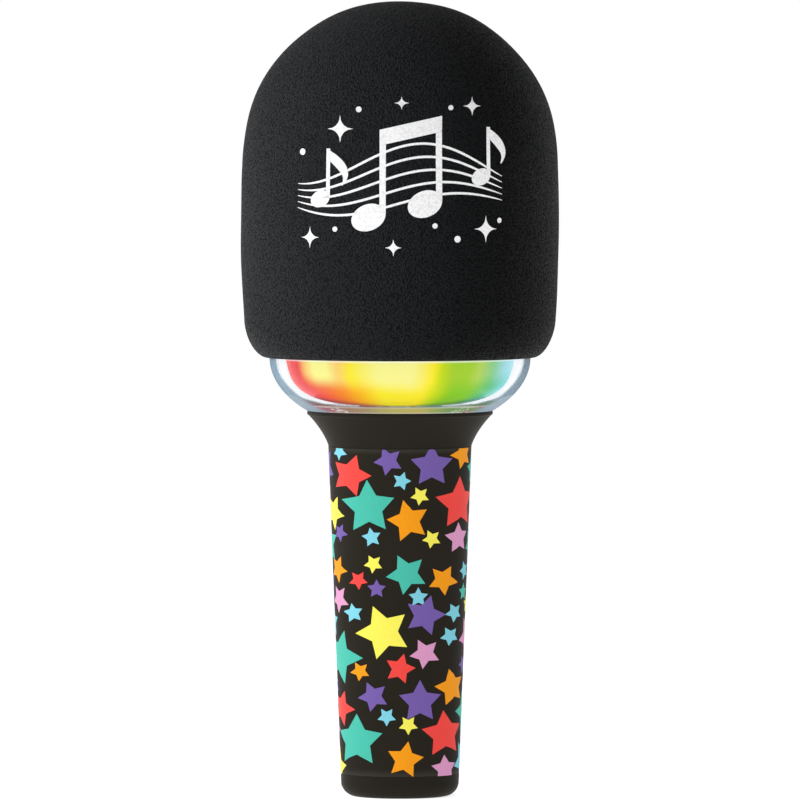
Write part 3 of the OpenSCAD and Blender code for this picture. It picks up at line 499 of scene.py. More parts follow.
FINISHES = {
    "foam": FOAM, "shell_plastic": SHELL, "print_film": FILM, "clear_plastic": CLEAR, "diffuser": GLOW,
    "button_plastic": BUTTON,
    "basket_plastic": moulded("basket_black", (38, 39, 41), 0.5, 0.5, 0.03),
    "rubber": moulded("boot_rubber", (24, 24, 25), 0.75, 0.8, 0.03, 0.2),
    "capsule_metal": metal("capsule_can", (206, 207, 210), 0.32),
    "inner_plastic": moulded("inner_black", (48, 48, 50), 0.55, 0.6, 0.03),
    "screw_steel": metal("screw_zinc", (196, 198, 202), 0.3, (1, 1, 1)),
    "soft_foam": moulded("pad_foam", (66, 66, 67), 0.9, 0.7, 0.2, 0.1),
    "frame_steel": moulded("frame_paint", (88, 91, 95), 0.4, 1.1, 0.02, 0.4),
    "magnet": moulded("magnet_ferrite", (64, 64, 66), 0.6, 0.4, 0.05, 0.4),
    "yoke_steel": metal("yoke_zinc", (186, 188, 192), 0.35, (1, 1, 8)),
    "cone": moulded("cone_paper", (34, 34, 35), 0.7, 0.9, 0.06, 0.2),
    "copper": finish("coil_copper", copper_looks, Metallic=1.0),
    "white_board": finish("lamp_board", board_looks(srgb(232, 231, 224), srgb(246, 246, 242))),
    "lamp": finish("lamp_body", lamp_looks, Emission_Strength=0.8),
    "green_board": finish("main_board", board_looks(srgb(22, 92, 58), srgb(44, 128, 82))),
    "chip": moulded("chip_black", (30, 30, 31), 0.5, 0.3, 0.02),
    "socket_steel": metal("socket_steel", (188, 190, 194), 0.26, (1, 10, 1)),
    "switch_plastic": moulded("switch_case", (70, 70, 73), 0.45, 0.5, 0.02),
    "battery": moulded("battery_sleeve", (52, 112, 178), 0.32, 1.4, 0.02, 0.5),
    "plunger_plastic": moulded("plunger_white", (214, 214, 212), 0.4, 0.6, 0.01, 0.4),
    "grey_lead": moulded("lead_grey", (132, 132, 134), 0.4, 0.8, 0.02, 0.4),
    "red_lead": moulded("lead_red", (186, 48, 40), 0.4, 0.8, 0.02, 0.4),
    "white_lead": moulded("lead_white", (232, 232, 230), 0.4, 0.8, 0.02, 0.4),
}
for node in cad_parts.values():
    for place in node.material_slots:
        place.material = FINISHES[place.material.name]


# Windscreen

FOAM_AROUND, FOAM_SHRINK = 360, 0.1
SHOULDER_IN, SHOULDER_AT, CROWN_OUT, CROWN_AT, BELL = 0.45, 197.0, 0.3, 247.0, 10.0
rng = np.random.default_rng(7)


def waves(count, shortest, longest, height):
    """Plane waves of random heading: directions times wave numbers, phases, and one height for all."""
    way = rng.normal(size=(count, 3))
    way /= np.linalg.norm(way, axis=1, keepdims=True)
    number = 2 * np.pi / rng.uniform(shortest, longest, (count, 1))
    return way * number, rng.uniform(0, 2 * np.pi, count), height


FOAM_WAVES = waves(count=16, shortest=16, longest=40, height=0.022)


def unevenness(points):
    """How far the soft foam stands out at a place: a sum of long plane waves, mostly inwards."""
    way, phase, height = FOAM_WAVES
    return height * np.cos(points @ way.T + phase).sum(-1) - FOAM_SHRINK


def bell(v, middle):
    """Bell curve exp(-((v - middle) / width)^2)."""
    return np.exp(-((v - middle) / BELL) ** 2)


def foam_point(turn, v, lift=0.0):
    """Place on the foam's outside, at an angle round it and a length v up its side and on over the dome. A
    straight side under a half sphere is drawn in by a square law towards the foot and by a bell curve at the
    shoulder, and is fuller by a bell curve round the crown; then it moves along its normal by the unevenness
    and the lift."""
    tilt = np.maximum(v - Z_DOME, 0) / FOAM_R
    low = Z_RIM + FOAM_LIP
    drawn_in = FOAM_TUCK * (1 - np.clip((v - low) / ((Z_DOME - low) / 2), 0, 1)) ** 2
    drawn_in = drawn_in + SHOULDER_IN * bell(v, SHOULDER_AT) - CROWN_OUT * bell(v, CROWN_AT)
    way = polar(np.cos(tilt), turn, np.sin(tilt))
    place = way * (FOAM_R - drawn_in)[..., None]
    place[..., 2] += np.minimum(v, Z_DOME)
    return place + way * (unevenness(place) + lift)[..., None]


def windscreen():
    """Outside from the crown down, then the open end as a quarter of a curve |x|^p + |z|^p = 1 whose
    unevenness fades out, then the smooth inside back up: a straight side under a half sphere."""
    low, lip_in, crown = Z_RIM + FOAM_LIP, FOAM_IN_R + FOAM_REST, Z_DOME + FOAM_R * np.pi / 2
    turn = full_turn(FOAM_AROUND)
    outside = foam_point(turn, np.linspace(crown, low, 150)[1:, None] + 0 * turn)
    bend = 2 / 1.8
    down = np.radians(np.linspace(0, 90, 27))[1:]
    lip_r = lip_in + (FOAM_R - FOAM_TUCK - lip_in) * np.cos(down).clip(0) ** bend
    lip = revolve(np.stack([lip_r, low - FOAM_LIP * np.sin(down) ** bend], -1), FOAM_AROUND)
    out = lip * [1, 1, 0]
    out /= np.linalg.norm(out, axis=-1, keepdims=True)
    lip += out * (unevenness(lip) * np.cos(down)[:, None])[..., None]
    inside = np.concatenate([run((FOAM_IN_R, Z_RIM), (FOAM_IN_R, Z_DOME), gap=4)[:-1],
                             oval((0, Z_DOME), (FOAM_IN_R, FOAM_IN_R), 0, 90, 30)[:-1]])
    rows = np.concatenate([outside, lip, revolve(inside, FOAM_AROUND)])
    ends = np.array([foam_point(np.zeros(1), np.array([crown]))[0], [0, 0, Z_DOME + FOAM_IN_R]])
    foam = piece("windscreen_foam", [(rows, ends)], "windscreen", FOAM, ("foam_windscreen",), 60)


windscreen()


# Flat printed patches

def blob(place, reach, middle, rings, top, sunk, turn=0.0):
    """Closed patch round a middle: reach[around] gives its outline by angle from up, or from a turn to the
    right of it, filled by rings that shrink to the middle, once on top and once sunk below."""
    t = full_turn(len(reach)) + turn
    share = np.linspace(0, 1, rings + 1)[1:]
    share = np.concatenate([share, share[::-1]])[:, None]
    lift = np.repeat([top, -sunk], rings)[:, None] + 0 * reach
    rows = place(middle[0] + share * reach * np.sin(t), middle[1] + share * reach * np.cos(t), lift)
    u, v = np.full(2, middle[0]), np.full(2, middle[1])
    return rows, place(u, v, np.array([top, -sunk]))


def ribbon(place, path, half, top, sunk, across=3):
    """Closed flat ribbon along a path of (u, v) points, half its width to each side, with square ends."""
    path, half = np.asarray(path, float), np.broadcast_to(half, len(path))
    along = np.gradient(path, axis=0)
    along /= np.linalg.norm(along, axis=1, keepdims=True)
    side = np.stack([along[:, 1], -along[:, 0]], -1)
    s = np.linspace(-1, 1, across)
    s = np.concatenate([s, s[::-1]])
    lift = np.repeat([top, -sunk], across) + np.zeros((len(path), 1))
    uv = path[:, None] + side[:, None] * (half[:, None] * s)[..., None]
    rows = place(uv[..., 0], uv[..., 1], lift)
    ends = path[[0, -1]]
    return rows, place(ends[:, 0], ends[:, 1], np.full(2, (top - sunk) / 2))


def oval_reach(long, short, tilt, count=40):
    """Outline of an ellipse by angle: long half width turned by tilt degrees from level."""
    t = full_turn(count) - math.radians(90 - tilt)
    return long * short / np.sqrt((short * np.cos(t)) ** 2 + (long * np.sin(t)) ** 2)


def sparkle_reach(radius, count=64):
    """Outline of a four-pointed sparkle with hollow sides: the curve |u|^p + |v|^p = radius^p."""
    t = full_turn(count)
    power = 0.55
    return radius / (np.abs(np.sin(t)) ** power + np.abs(np.cos(t)) ** power) ** (1 / power)


# White print on the windscreen: a waving stave with notes and sparkles

FOAM_INK = dict(top=0.08, sunk=0.5)
STAVE_HALF, STAVE_UP, STAVE_LINE, STAVE_NARROW, STAVE_SWELL = 33.0, 185.5, 0.36, 1.6, 2.6
WAVE_TALL, WAVE_LONG, WAVE_SHIFT, SWELL_LONG = 4.2, 74.0, 8.0, 80.0
NOTE_LONG, NOTE_SHORT, NOTE_TILT, STEM_AT, STEM_GAP = 5.4, 3.9, 22.0, 4.3, 1.2
PAIR_STEM, PAIR_TALL, BEAM_UP, BEAM_HALF, BEAM_RISE = 0.95, 25.5, 200.7, 2.4, 0.2275
SINGLE_SIZE, SINGLE_STEM, SINGLE_TALL, FLAG_OUT, FLAG_TOP, FLAG_DROP = 0.62, 0.62, 15.0, 5.6, 13.4, 9.4

# Places of the print: distance to the right round the foam, length up its side, and a radius where needed
NOTE_PAIR = [(-9.5, 175.5), (7.5, 179.5)]
SINGLE_NOTES = [(-25.0, 181.0), (25.5, 187.5)]
SPARKLES = [(-18.5, 202.0, 4.2), (22.5, 209.0, 3.0), (-28.5, 169.5, 3.2), (27.0, 172.0, 4.0),
            (-2.0, 166.5, 2.6), (0.5, 210.0, 2.2)]
DOTS = [(-12.5, 208.0, 0.9), (17.5, 169.0, 1.0), (-20.0, 172.0, 0.8), (32.0, 174.5, 0.8),
        (-31.5, 195.0, 1.0), (15.5, 208.5, 0.8), (10.5, 173.0, 0.8)]


def on_foam(u, v, lift):
    """Place on the foam: distance u to the right round it, and length v up its side and over the dome."""
    return foam_point(u / (FOAM_R * np.cos(np.maximum(v - Z_DOME, 0) / FOAM_R)), v, lift)


def on_beam(u, v, lift):
    """Place on the foam for the beam, which rises to the right and ends upright."""
    return on_foam(u, v + BEAM_RISE * u, lift)


def stem(u, low, high, half):
    """Upright stroke of a note."""
    return ribbon(on_foam, run((u, low), (u, high), gap=STEM_GAP), half, **FOAM_INK)


def stave():
    """Five lines on a sine wave that draw together and thin out towards their ends."""
    u = np.linspace(-STAVE_HALF, STAVE_HALF, 90)
    spread = STAVE_NARROW + STAVE_SWELL * np.cos(np.pi * u / SWELL_LONG) ** 2
    wave = STAVE_UP + WAVE_TALL * np.sin(2 * np.pi * (u + WAVE_SHIFT) / WAVE_LONG)
    half = STAVE_LINE * (1 - 0.75 * np.abs(u / STAVE_HALF) ** 6)
    return [ribbon(on_foam, np.stack([u, wave + line * spread], -1), half, **FOAM_INK)
            for line in (-2, -1, 0, 1, 2)]


def beamed_pair():
    """Two tilted ovals with stems, and a broad beam over both."""
    patches = []
    for u, v in NOTE_PAIR:
        patches.append(blob(on_foam, oval_reach(NOTE_LONG, NOTE_SHORT, NOTE_TILT), (u, v), 5, **FOAM_INK))
        patches.append(stem(u + STEM_AT, v + 1, v + PAIR_TALL, PAIR_STEM))
    left, right = (u + STEM_AT + way * PAIR_STEM for (u, _), way in zip(NOTE_PAIR, (-1, 1)))
    beam = run((left, BEAM_UP), (right, BEAM_UP), gap=STEM_GAP)
    return patches + [ribbon(on_beam, beam, BEAM_HALF, across=5, **FOAM_INK)]


def single_notes():
    """Small notes, each with a flag that follows a sine, broad near its top and thin at its tip."""
    patches = []
    reach = oval_reach(NOTE_LONG * SINGLE_SIZE, NOTE_SHORT * SINGLE_SIZE, NOTE_TILT)
    s = np.linspace(0, 1, 28)
    swell = 0.2 + 1.25 * np.sin(np.pi * (0.3 + 0.7 * s)) ** 1.3
    for u, v in SINGLE_NOTES:
        side = u + STEM_AT * SINGLE_SIZE
        flag = np.stack([side + FLAG_OUT * np.sin(np.pi * 0.7 * s), v + FLAG_TOP - FLAG_DROP * s], -1)
        patches.append(blob(on_foam, reach, (u, v), 4, **FOAM_INK))
        patches.append(stem(side, v + 0.6, v + SINGLE_TALL, SINGLE_STEM))
        patches.append(ribbon(on_foam, flag, swell, **FOAM_INK))
    return patches


def head_print():
    """The stave, the notes, the sparkles and the dots as one piece."""
    patches = stave() + beamed_pair() + single_notes()
    patches += [blob(on_foam, sparkle_reach(radius), (u, v), 5, **FOAM_INK) for u, v, radius in SPARKLES]
    patches += [blob(on_foam, np.full(20, radius), (u, v), 2, **FOAM_INK) for u, v, radius in DOTS]
    piece("head_print", patches, "windscreen", HEAD_PRINT)


head_print()


# Bowl and its light

BOWL_AROUND, BOWL_TRIM, BOWL_LIFT, BOWL_EDGE, CORE_LIFT = 256, 0.2, 0.06, 0.15, 0.08
CORE_BEND, CORE_LEAN = 2 / 3.4, 0.08


def bowl():
    """Outside: part of an ellipse from the collar to the rim, then upright; inside, another ellipse down to
    the flat floor; below, a ring with a hook that the shells grip."""
    low = math.degrees(math.acos(COLLAR_R / HEAD_R))
    floor_r = HEAD_R * math.sqrt(1 - ((Z_RIM - FLOOR_SEEN) / BOWL_TALL) ** 2) - BOWL_WALL
    in_r = HEAD_R - BOWL_WALL
    in_low = math.degrees(math.acos(floor_r / in_r))
    in_tall = (Z_RIM - FLOOR_SEEN) / math.sin(math.radians(in_low))
    cup_low, neck_in, neck_top = Z_LIP + BOWL_LIFT, NECK_R - NECK_WALL, Z_LIP + BOWL_LIFT / 2
    cup = np.concatenate([
        oval((0, Z_RIM), (HEAD_R, BOWL_TALL), -low + BOWL_TRIM, 0, 70),
        run((HEAD_R, Z_RIM), (HEAD_R, Z_BASE), (in_r, Z_BASE), (in_r, Z_RIM), gap=1)[1:],
        oval((0, Z_RIM), (in_r, in_tall), 0, -in_low, 60)[1:],
        run((floor_r, FLOOR_SEEN), (WIRE_HOLE_R, FLOOR_SEEN), (WIRE_HOLE_R, cup_low),
            (COLLAR_R - BOWL_EDGE, cup_low), gap=2)[1:]])
    neck = run((neck_in, neck_top), (neck_in, HOOK_LOW), (HOOK_R, HOOK_LOW), (HOOK_R, HOOK_HIGH),
               (NECK_R, HOOK_HIGH), (NECK_R, neck_top), gap=1)
    for name, profile in (("light_bowl_cup", cup), ("light_bowl_neck", neck)):
        hoop(name, profile, BOWL_AROUND, CLEAR, ("light_bowl",), 30)


def core_side(start, stop, radius, depth):
    """A quarter of the curve |r|^p + |z|^p = 1 between two angles in degrees, leaning in with its depth."""
    angle = np.radians(np.linspace(start, stop, 60))
    down = np.sin(angle) ** CORE_BEND
    return np.stack([radius * (1 - CORE_LEAN * down) * np.cos(angle) ** CORE_BEND, Z_RIM - depth * down], -1)


def core():
    """A milky cup: its curved side from the foot out to the rim, then upright; the same inside, one wall
    thinner."""
    in_r, deep = CORE_R - CORE_WALL, Z_RIM - (FLOOR_SEEN + CORE_LIFT)
    rim = run((CORE_R, Z_RIM), (CORE_R, CORE_TOP), (in_r, CORE_TOP), (in_r, Z_RIM), gap=1)[1:-1]
    profile = np.concatenate([core_side(86, 0, CORE_R, deep), rim, core_side(0, 84, in_r, deep - CORE_WALL)])
    hoop("light_core_glow", profile, BOWL_AROUND, GLOW, ("light_core",))


bowl()
core()


# Smooth skins over the collar and the foot of the half shells

SKIN, SKIN_DEEP, LIP_IN, LIP_SUNK = 0.03, 0.9, 1.6, 0.02
COLLAR_BARE, FOOT_BARE = FILM_HIGH + 0.1, FILM_LOW - 0.07


def collar_skin():
    """Quadratic curve from the grip to the lip, round-edged lip, then back inside the wall."""
    t, edge = np.linspace(0, 1, 48)[:, None], COLLAR_EDGE
    start = np.array([GRIP_TOP_R, GRIP_LEN])
    stop = np.array([COLLAR_R - edge, Z_LIP - COLLAR_LIP])
    half = (stop[1] - start[1]) / 2
    knee = start + half * np.array([math.tan(math.radians(FLARE_LEAN)), 1])
    flare = (1 - t) ** 2 * start + 2 * t * (1 - t) * knee + t ** 2 * stop
    outside = np.concatenate([
        run((grip_radius(COLLAR_BARE), COLLAR_BARE), tuple(start), gap=0.2)[:-1], flare,
        oval((COLLAR_R - edge, Z_LIP - COLLAR_LIP + edge), (edge, edge), -60, 0, 6)[1:],
        oval((COLLAR_R - edge, Z_LIP - edge), (edge, edge), 0, 90, 8)]) + [SKIN, 0]
    inside = np.concatenate([[[COLLAR_R - LIP_IN, Z_LIP - LIP_SUNK]], (flare - [SKIN_DEEP, 0])[::-1],
                             [[grip_radius(FILM_HIGH) - SKIN_DEEP, COLLAR_BARE]]])
    hoop("collar_skin", np.concatenate([outside, inside]), 220, SHELL)


def foot_skin():
    """Quarter circle round the foot's edge and the bare band up to the film, then back inside the wall."""
    middle, side, inner = grip_radius(FOOT_ROUND) - FOOT_ROUND, grip_radius(FILM_LOW), FOOT_ROUND - SKIN_DEEP
    outside = np.concatenate([
        oval((middle, FOOT_ROUND), (FOOT_ROUND + SKIN, FOOT_ROUND), -88, 0, 30), [[side + SKIN, FOOT_BARE]]])
    inside = np.concatenate([
        [[side - SKIN_DEEP, FOOT_BARE]], oval((middle, FOOT_ROUND), (inner, inner), 0, -86, 20)])
    hoop("foot_skin", np.concatenate([outside, inside]), 200, SHELL)


collar_skin()
foot_skin()


# Star print on the grip

STAR_NOTCH, STAR_TOP, STAR_SUNK, STAR_RINGS, STAR_EDGE = 0.52, 0.06, 0.12, 6, 6
STAR_WRAP, STAR_STRETCH, STAR_SEAM = math.radians(57), 1.25, 0.5
STAR_TRIES, STAR_APART, STAR_FILL, HOLE_FILL, SIDE_FILL, END_CLEAR = 900, 0.5, 0.84, 0.93, 0.9, 1.5
BUTTON_CLEAR, SCREW_CLEAR, SOCKET_CLEAR, SOCKET_SPOTS = 0.9, 3.4, 2.6, (-3.2, 0.0, 3.2)

# Stars thrown at random: radius and how many
REAR_SIZES = ((8.2, 7), (6.4, 9), (4.7, 13), (2.9, 26))
SIDE_SIZES = ((6.4, 6), (4.7, 10), (2.9, 24))

# Stars of the front film by ink: distance to the right seen from the front, height, radius, turn in degrees
FRONT_STARS = {
    "coral": [(-15, 97.5, 6.5, 18), (18.5, 89, 8.1, -3), (-12.5, 66, 2.9, 32), (0, 39.5, 4.7, 15),
        (-19, 27, 5.6, 20), (13.5, 19.5, 7.2, -4)],
    "teal": [(-9.5, 88, 8.3, -3), (2, 68, 6.3, 46), (21, 62, 2.7, 0), (-19.5, 42.5, 8.4, 18),
        (-13, 17.5, 8.1, 0)],
    "orange": [(19.5, 103.5, 4.5, 54), (2.5, 84, 6.5, -14), (-20, 69, 4.3, 26), (13, 66, 4.7, 30),
        (-12, 38.5, 3.0, 43), (16, 33.5, 5.7, -13), (1.5, 12, 5.7, 10)],
    "violet": [(-3.5, 102, 4.5, 48), (9.5, 100.5, 6.6, 0), (-18.5, 80, 2.9, 28), (-7, 63.5, 2.9, 0),
        (7.5, 55.5, 6.3, 17), (-8, 31, 4.7, 47), (6, 29.5, 6.6, 0)],
    "sky": [(-18.5, 104.5, 2.7, 36), (0.5, 96, 2.9, 18), (-8.5, 79, 3.0, -11), (21.5, 68.5, 2.9, -20),
        (5.5, 61, 3.0, 0), (-14, 56, 3.0, -11), (16.5, 56, 3.0, 45), (15, 49, 3.0, 43), (-4, 25, 2.9, 36)],
    "lemon": [(6, 91.5, 2.9, 44), (-22, 86, 5.4, 28), (9.5, 78.5, 2.9, -26), (-8, 71, 2.9, 43),
        (-5, 50.5, 8.4, -22), (2.5, 22.5, 3.0, 36)],
    "pink": [(18, 78.5, 4.7, -5), (-19.5, 60, 4.4, 40), (7.5, 44, 4.7, 45), (13.5, 9, 4.2, -3)],
}


def throw_stars(placed, sizes, bare, far_out, holes=()):
    """Adds stars at random to those placed, from large to small: each keeps clear of the holes and of the
    other stars, and takes an ink that its two nearest neighbours don't have. Their edges stay outside a bare
    middle and their middles within far_out, both as shares of the grip's radius."""
    for radius, wanted in sizes:
        tries = 0
        while wanted and tries < STAR_TRIES:
            tries += 1
            z, side = rng.uniform(FILM_LOW + END_CLEAR, FILM_HIGH - END_CLEAR), rng.choice((-1, 1))
            r = grip_radius(z)
            across = side * (bare * r + rng.uniform(SIDE_FILL * radius if bare else 0, (far_out - bare) * r))
            far = [math.hypot(across - o[1], z - o[2]) - STAR_FILL * (radius + o[3]) for o in placed]
            seen = r * math.sin(across / r)
            clear = [math.hypot(seen + x, z - h) - HOLE_FILL * radius - gap for x, h, gap in holes]
            if min(far + clear, default=1) < STAR_APART:
                continue
            near = [placed[i][0] for i in np.argsort(far)[:2]]
            free = [name for name in STAR_INKS if name not in near]
            placed.append((free[int(rng.integers(len(free)))], across, z, radius, rng.uniform(0, 72)))
            wanted -= 1
    return placed


def side_stars():
    """Stars of the front film: the ones listed, and others at its two sides, out of the front's sight."""
    listed = [(name, *star) for name, stars in FRONT_STARS.items() for star in stars]
    return throw_stars(listed, SIDE_SIZES, bare=0.94, far_out=1.3)


def rear_stars():
    """Stars of the rear film, clear of its holes for the buttons, the screws and the charge socket."""
    holes = [(0.0, z, BUTTON_R + BUTTON_CLEAR) for z in BUTTON_Z.values()]
    holes += [(x, z, SCREW_CLEAR) for x, z in SCREW_SPOTS]
    holes += [(x, SOCKET_Z, SOCKET_CLEAR) for x in SOCKET_SPOTS]
    return throw_stars([], REAR_SIZES, bare=0, far_out=1.47, holes=holes)


def flat_lay(share):
    """Angle round the grip for a place across it, as a share of the radius: even as seen from the front as
    far as the wrap, and close to even along the surface from there on."""
    edge = math.sin(STAR_WRAP)
    far = np.abs(share)
    angle = np.where(far < edge, np.arcsin(np.minimum(far, edge)), STAR_WRAP + (far - edge) * STAR_STRETCH)
    return np.sign(share) * angle


def on_front(u, z, lift):
    """Place on the front film: distance u to the right, laid flat as seen from the front, and height z."""
    r = grip_radius(z)
    return polar(r + lift, flat_lay(u / r), z)


def on_rear(u, z, lift):
    """Place on the rear film: distance u round it, to the right as seen from behind, and height z."""
    r = grip_radius(z)
    return polar(r + lift, u / r + np.pi, z)


def star_patch(star, behind):
    """A star on the grip's cone. A straight edge from a tip at radius R to a notch at n R, 36 degrees on,
    lies at R n sin 36 / (sin t + n sin(36 - t)). The reach is cut where it meets the film's ends or seams."""
    _, middle, z0, radius, turn = star
    t = np.arange(10 * STAR_EDGE) * 36 / STAR_EDGE
    from_tip = np.radians(np.abs((t + 36) % 72 - 36))
    point = math.radians(36)
    reach = radius * STAR_NOTCH * math.sin(point) / (np.sin(from_tip) + STAR_NOTCH * np.sin(point - from_tip))
    way = np.radians(t + turn)
    up, across = np.cos(way), np.sin(way)
    r0 = grip_radius(z0)
    quarter = np.pi / 2 - STAR_SEAM / r0
    if not behind:
        quarter = math.sin(STAR_WRAP) + (quarter - STAR_WRAP) / STAR_STRETCH
    room_up = np.where(up > 0, FILM_HIGH - z0, z0 - FILM_LOW)
    room_across = quarter * r0 - middle * np.sign(across)
    reach = np.minimum(reach, room_up / np.maximum(np.abs(up), 1e-6))
    reach = np.minimum(reach, room_across / np.maximum(np.abs(across), 1e-6))
    place = on_rear if behind else on_front
    return blob(place, reach, (middle, z0), STAR_RINGS, STAR_TOP, STAR_SUNK, math.radians(turn))


def star_print():
    """One piece for each ink on each film."""
    for film, behind, stars in (("front", False, side_stars()), ("rear", True, rear_stars())):
        for name, star_ink in STAR_INKS.items():
            patches = [star_patch(star, behind) for star in stars if star[0] == name]
            piece(film + "_stars_" + name, patches, "microphone", star_ink)


star_print()


# Buttons with their signs

BUTTON_EDGE, BUTTON_DISH, BUTTON_AROUND = 0.6, 0.22, 72
CAP_INK = dict(top=0.04, sunk=0.15)
THIN_STROKE, STROKE, THICK_STROKE, STROKE_GAP = 0.2, 0.26, 0.32, 0.3


def button_cap(name, z0):
    """Turned about an axis along Y: stem, flange, side, rounded edge and a shallow dish by a square law.
    Gives the function for a place on the cap."""
    y0, y1 = (corner[1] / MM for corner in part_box(name + "_button"))
    flange_r, seat, rim = BUTTON_R + FLANGE_OUT, grip_radius(z0) - FLANGE_DEEP, BUTTON_R - BUTTON_EDGE
    s = np.linspace(0, 1, 12)[:-1]
    profile = np.concatenate([
        run((STEM_R, y0), (STEM_R, seat - FLANGE_THICK), (flange_r, seat - FLANGE_THICK), (flange_r, seat),
            (BUTTON_R, seat), (BUTTON_R, y1 - BUTTON_EDGE), gap=1),
        oval((rim, y1 - BUTTON_EDGE), (BUTTON_EDGE, BUTTON_EDGE), 0, 90, 10)[1:],
        np.stack([rim * (1 - s), y1 - BUTTON_DISH * (1 - (1 - s) ** 2)], -1)[1:]])
    t = full_turn(BUTTON_AROUND)
    r, y = profile[:, :1], profile[:, 1:]
    rows = np.stack([r * np.cos(t), y + 0 * t, z0 + r * np.sin(t)], -1)
    poles = np.array([[0, y0, z0], [0, y1 - BUTTON_DISH, z0]])
    stands_for = (name + "_button",)
    piece(name + "_button_cap", [(rows, poles)], name + "_press", BUTTON, stands_for, 35)

    def on_cap(u, v, lift):
        """Place on the dished cap, u to the right as seen from behind and v up."""
        out = np.clip(np.hypot(u, v) / rim, 0, 1)
        return np.stack([-u, y1 - BUTTON_DISH * (1 - out ** 2) + lift, z0 + v], -1)

    return on_cap


def ring_path(radius, start, stop, count=30):
    """Points of an arc, in degrees clockwise from up."""
    t = np.radians(np.linspace(start, stop, count))
    return np.stack([radius * np.sin(t), radius * np.cos(t)], -1)


def bar(cap, start, stop, half):
    """A straight stroke."""
    return ribbon(cap, run(start, stop, gap=STROKE_GAP), half, **CAP_INK)


def power_sign(cap):
    """A broken ring with a bar in its gap."""
    return [ribbon(cap, ring_path(1.75, 38, 322), STROKE, **CAP_INK), bar(cap, (0, 0.5), (0, 2.3), STROKE)]


def light_sign(cap):
    """A disc with rays."""
    rays = [bar(cap, tuple(1.45 * way), tuple(2.3 * way), THIN_STROKE) for way in ring_path(1, 0, 315, 8)]
    return [blob(cap, np.full(28, 0.95), (0, 0), 3, **CAP_INK)] + rays


def voice_sign(cap):
    """A note, with a flag that follows a sine."""
    side = 0.3
    flag = np.stack([side + 1.3 * np.sin(np.linspace(0, 1.9, 14)), np.linspace(2.05, 0.2, 14)], -1)
    return [blob(cap, oval_reach(0.95, 0.7, NOTE_TILT), (-0.5, -1.35), 3, **CAP_INK),
            bar(cap, (side, -1.2), (side, 2.1), THIN_STROKE), ribbon(cap, flag, 0.24, **CAP_INK)]


def minus_sign(cap):
    """A level bar."""
    return [bar(cap, (-1.8, 0), (1.8, 0), THICK_STROKE)]


def plus_sign(cap):
    """A level bar and an upright one."""
    return minus_sign(cap) + [bar(cap, (0, -1.8), (0, 1.8), THICK_STROKE)]


SIGNS = {"power": power_sign, "light": light_sign, "voice": voice_sign, "volume_up": plus_sign,
         "volume_down": minus_sign}
for button, button_z in BUTTON_Z.items():
    strokes = SIGNS[button](button_cap(button, button_z))
    piece(button + "_sign", strokes, button + "_press", ICON)


# Floor, light and camera, in metres and watts

FLOOR_HALF, LAMP_AIM = 6.0, Vector((0, 0, 0.13))
LAMPS = (
    ("lamp_left_rim", (-0.95, 0.4, 0.45), 0.6, 4.0), ("lamp_left", (-0.95, -0.4, 0.5), 0.6, 4.0),
    ("lamp_front", (0.2, -1.5, 0.8), 0.9, 2.5), ("lamp_top", (-0.1, 0.1, 1.4), 1.2, 2.0),
    ("lamp_foam_left", (-1.15, -0.7, 0.4), 0.6, 64.0), ("lamp_foam_back", (0.9, 1.1, 0.5), 0.6, 30.0))
CAMERA_AWAY, CAMERA_TILT, CAMERA_AIM = 3.2, math.radians(2.0), Vector((0, 0, 0.1196))
PICTURE_POINTS, POINT_WIDE = 800, 0.3018 * MM
scene = bpy.context.scene


def paper_looks(m):
    """Pale paper with faint fibres."""
    fibre = m.noise(40, 3)
    return {"Base Color": m.mix(fibre, srgb(246, 246, 246), srgb(250, 250, 250)),
            "Roughness": 0.85 + fibre * 0.1}


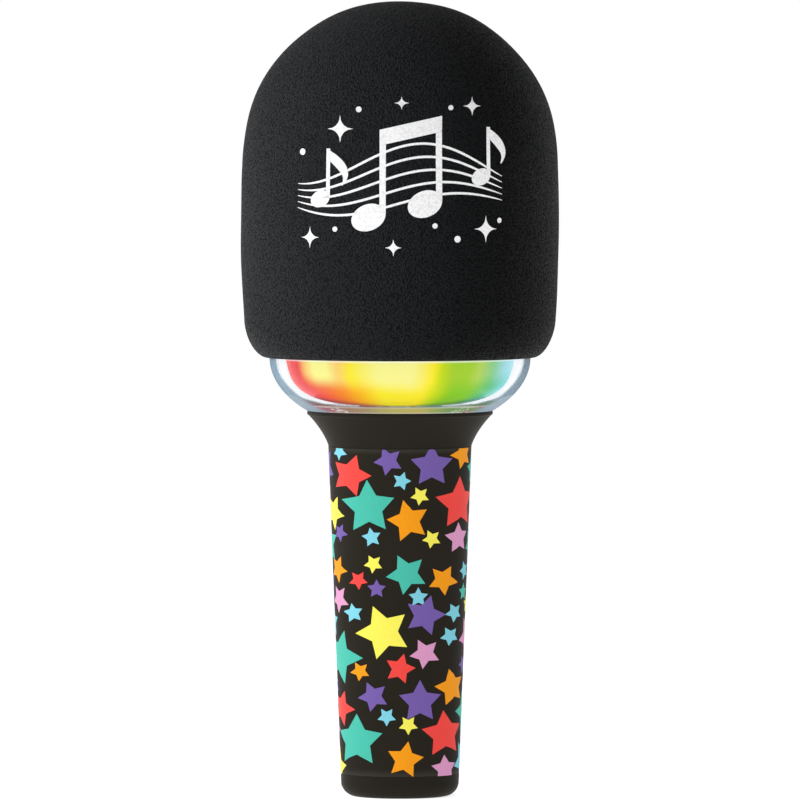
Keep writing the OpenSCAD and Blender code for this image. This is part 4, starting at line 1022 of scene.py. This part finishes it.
def pale_floor():
    """One large square."""
    h = FLOOR_HALF
    mesh = bpy.data.meshes.new("floor")
    mesh.from_pydata([(-h, -h, 0), (h, -h, 0), (h, h, 0), (-h, h, 0)], [], [(0, 1, 2, 3)])
    floor = bpy.data.objects.new("floor", mesh)
    scene.collection.objects.link(floor)
    mesh.materials.append(finish("floor_paper", paper_looks, Emission_Color=WHITE, Emission_Strength=0.8,
                                 Specular_IOR_Level=0.0))


def surround():
    """White at the horizon and dimmer above and below it, by the height of the direction."""
    scene.world = bpy.data.worlds.new("surround")
    scene.world.use_nodes = True
    sky = Shade(scene.world.node_tree)
    height = sky.node("SeparateXYZ", {}, {0: sky.node("TexCoord", out="Generated")}, 2)
    glow = sky.mix(sky.ease(sky.math("ABSOLUTE", height), 0.06, 0.4), WHITE, (0.2, 0.2, 0.205, 1))
    sky.tree.links.new(glow.socket, sky.tree.nodes["Background"].inputs["Color"])


def set_up(thing, place, aim):
    """Puts a lamp or the camera at a place, facing what it aims at."""
    thing.location = place
    thing.rotation_mode = "QUATERNION"
    thing.rotation_quaternion = (aim - place).to_track_quat("-Z", "Y")
    scene.collection.objects.link(thing)


def soft_lamps():
    """Large square lamps. Two of them light only the black foam, which takes far more light than the print to
    show its grain."""
    foam_only = bpy.data.collections.new("lit_by_foam_lamps")
    foam_only.objects.link(bpy.data.objects["windscreen_foam"])
    for name, place, size, watts in LAMPS:
        light = bpy.data.lights.new(name, "AREA")
        light.shape, light.size, light.energy = "SQUARE", size, watts
        lamp = bpy.data.objects.new(name, light)
        set_up(lamp, Vector(place), LAMP_AIM)
        if "foam" in name:
            lamp.light_linking.receiver_collection = foam_only
            lamp.visible_glossy = False


def camera():
    """Long lens, two degrees above level, at which each of the picture's points is POINT_WIDE across."""
    lens = bpy.data.cameras.new("camera")
    lens.sensor_width = 36.0
    lens.lens = lens.sensor_width * CAMERA_AWAY / (PICTURE_POINTS * POINT_WIDE)
    lens.clip_start, lens.clip_end = 0.05, 60
    view = bpy.data.objects.new("camera", lens)
    back = Vector((0, -math.cos(CAMERA_TILT), math.sin(CAMERA_TILT)))
    set_up(view, CAMERA_AIM + back * CAMERA_AWAY, CAMERA_AIM)
    bpy.context.scene.camera = view


scene.view_settings.view_transform = "Standard"
pale_floor()
surround()
soft_lamps()
camera()
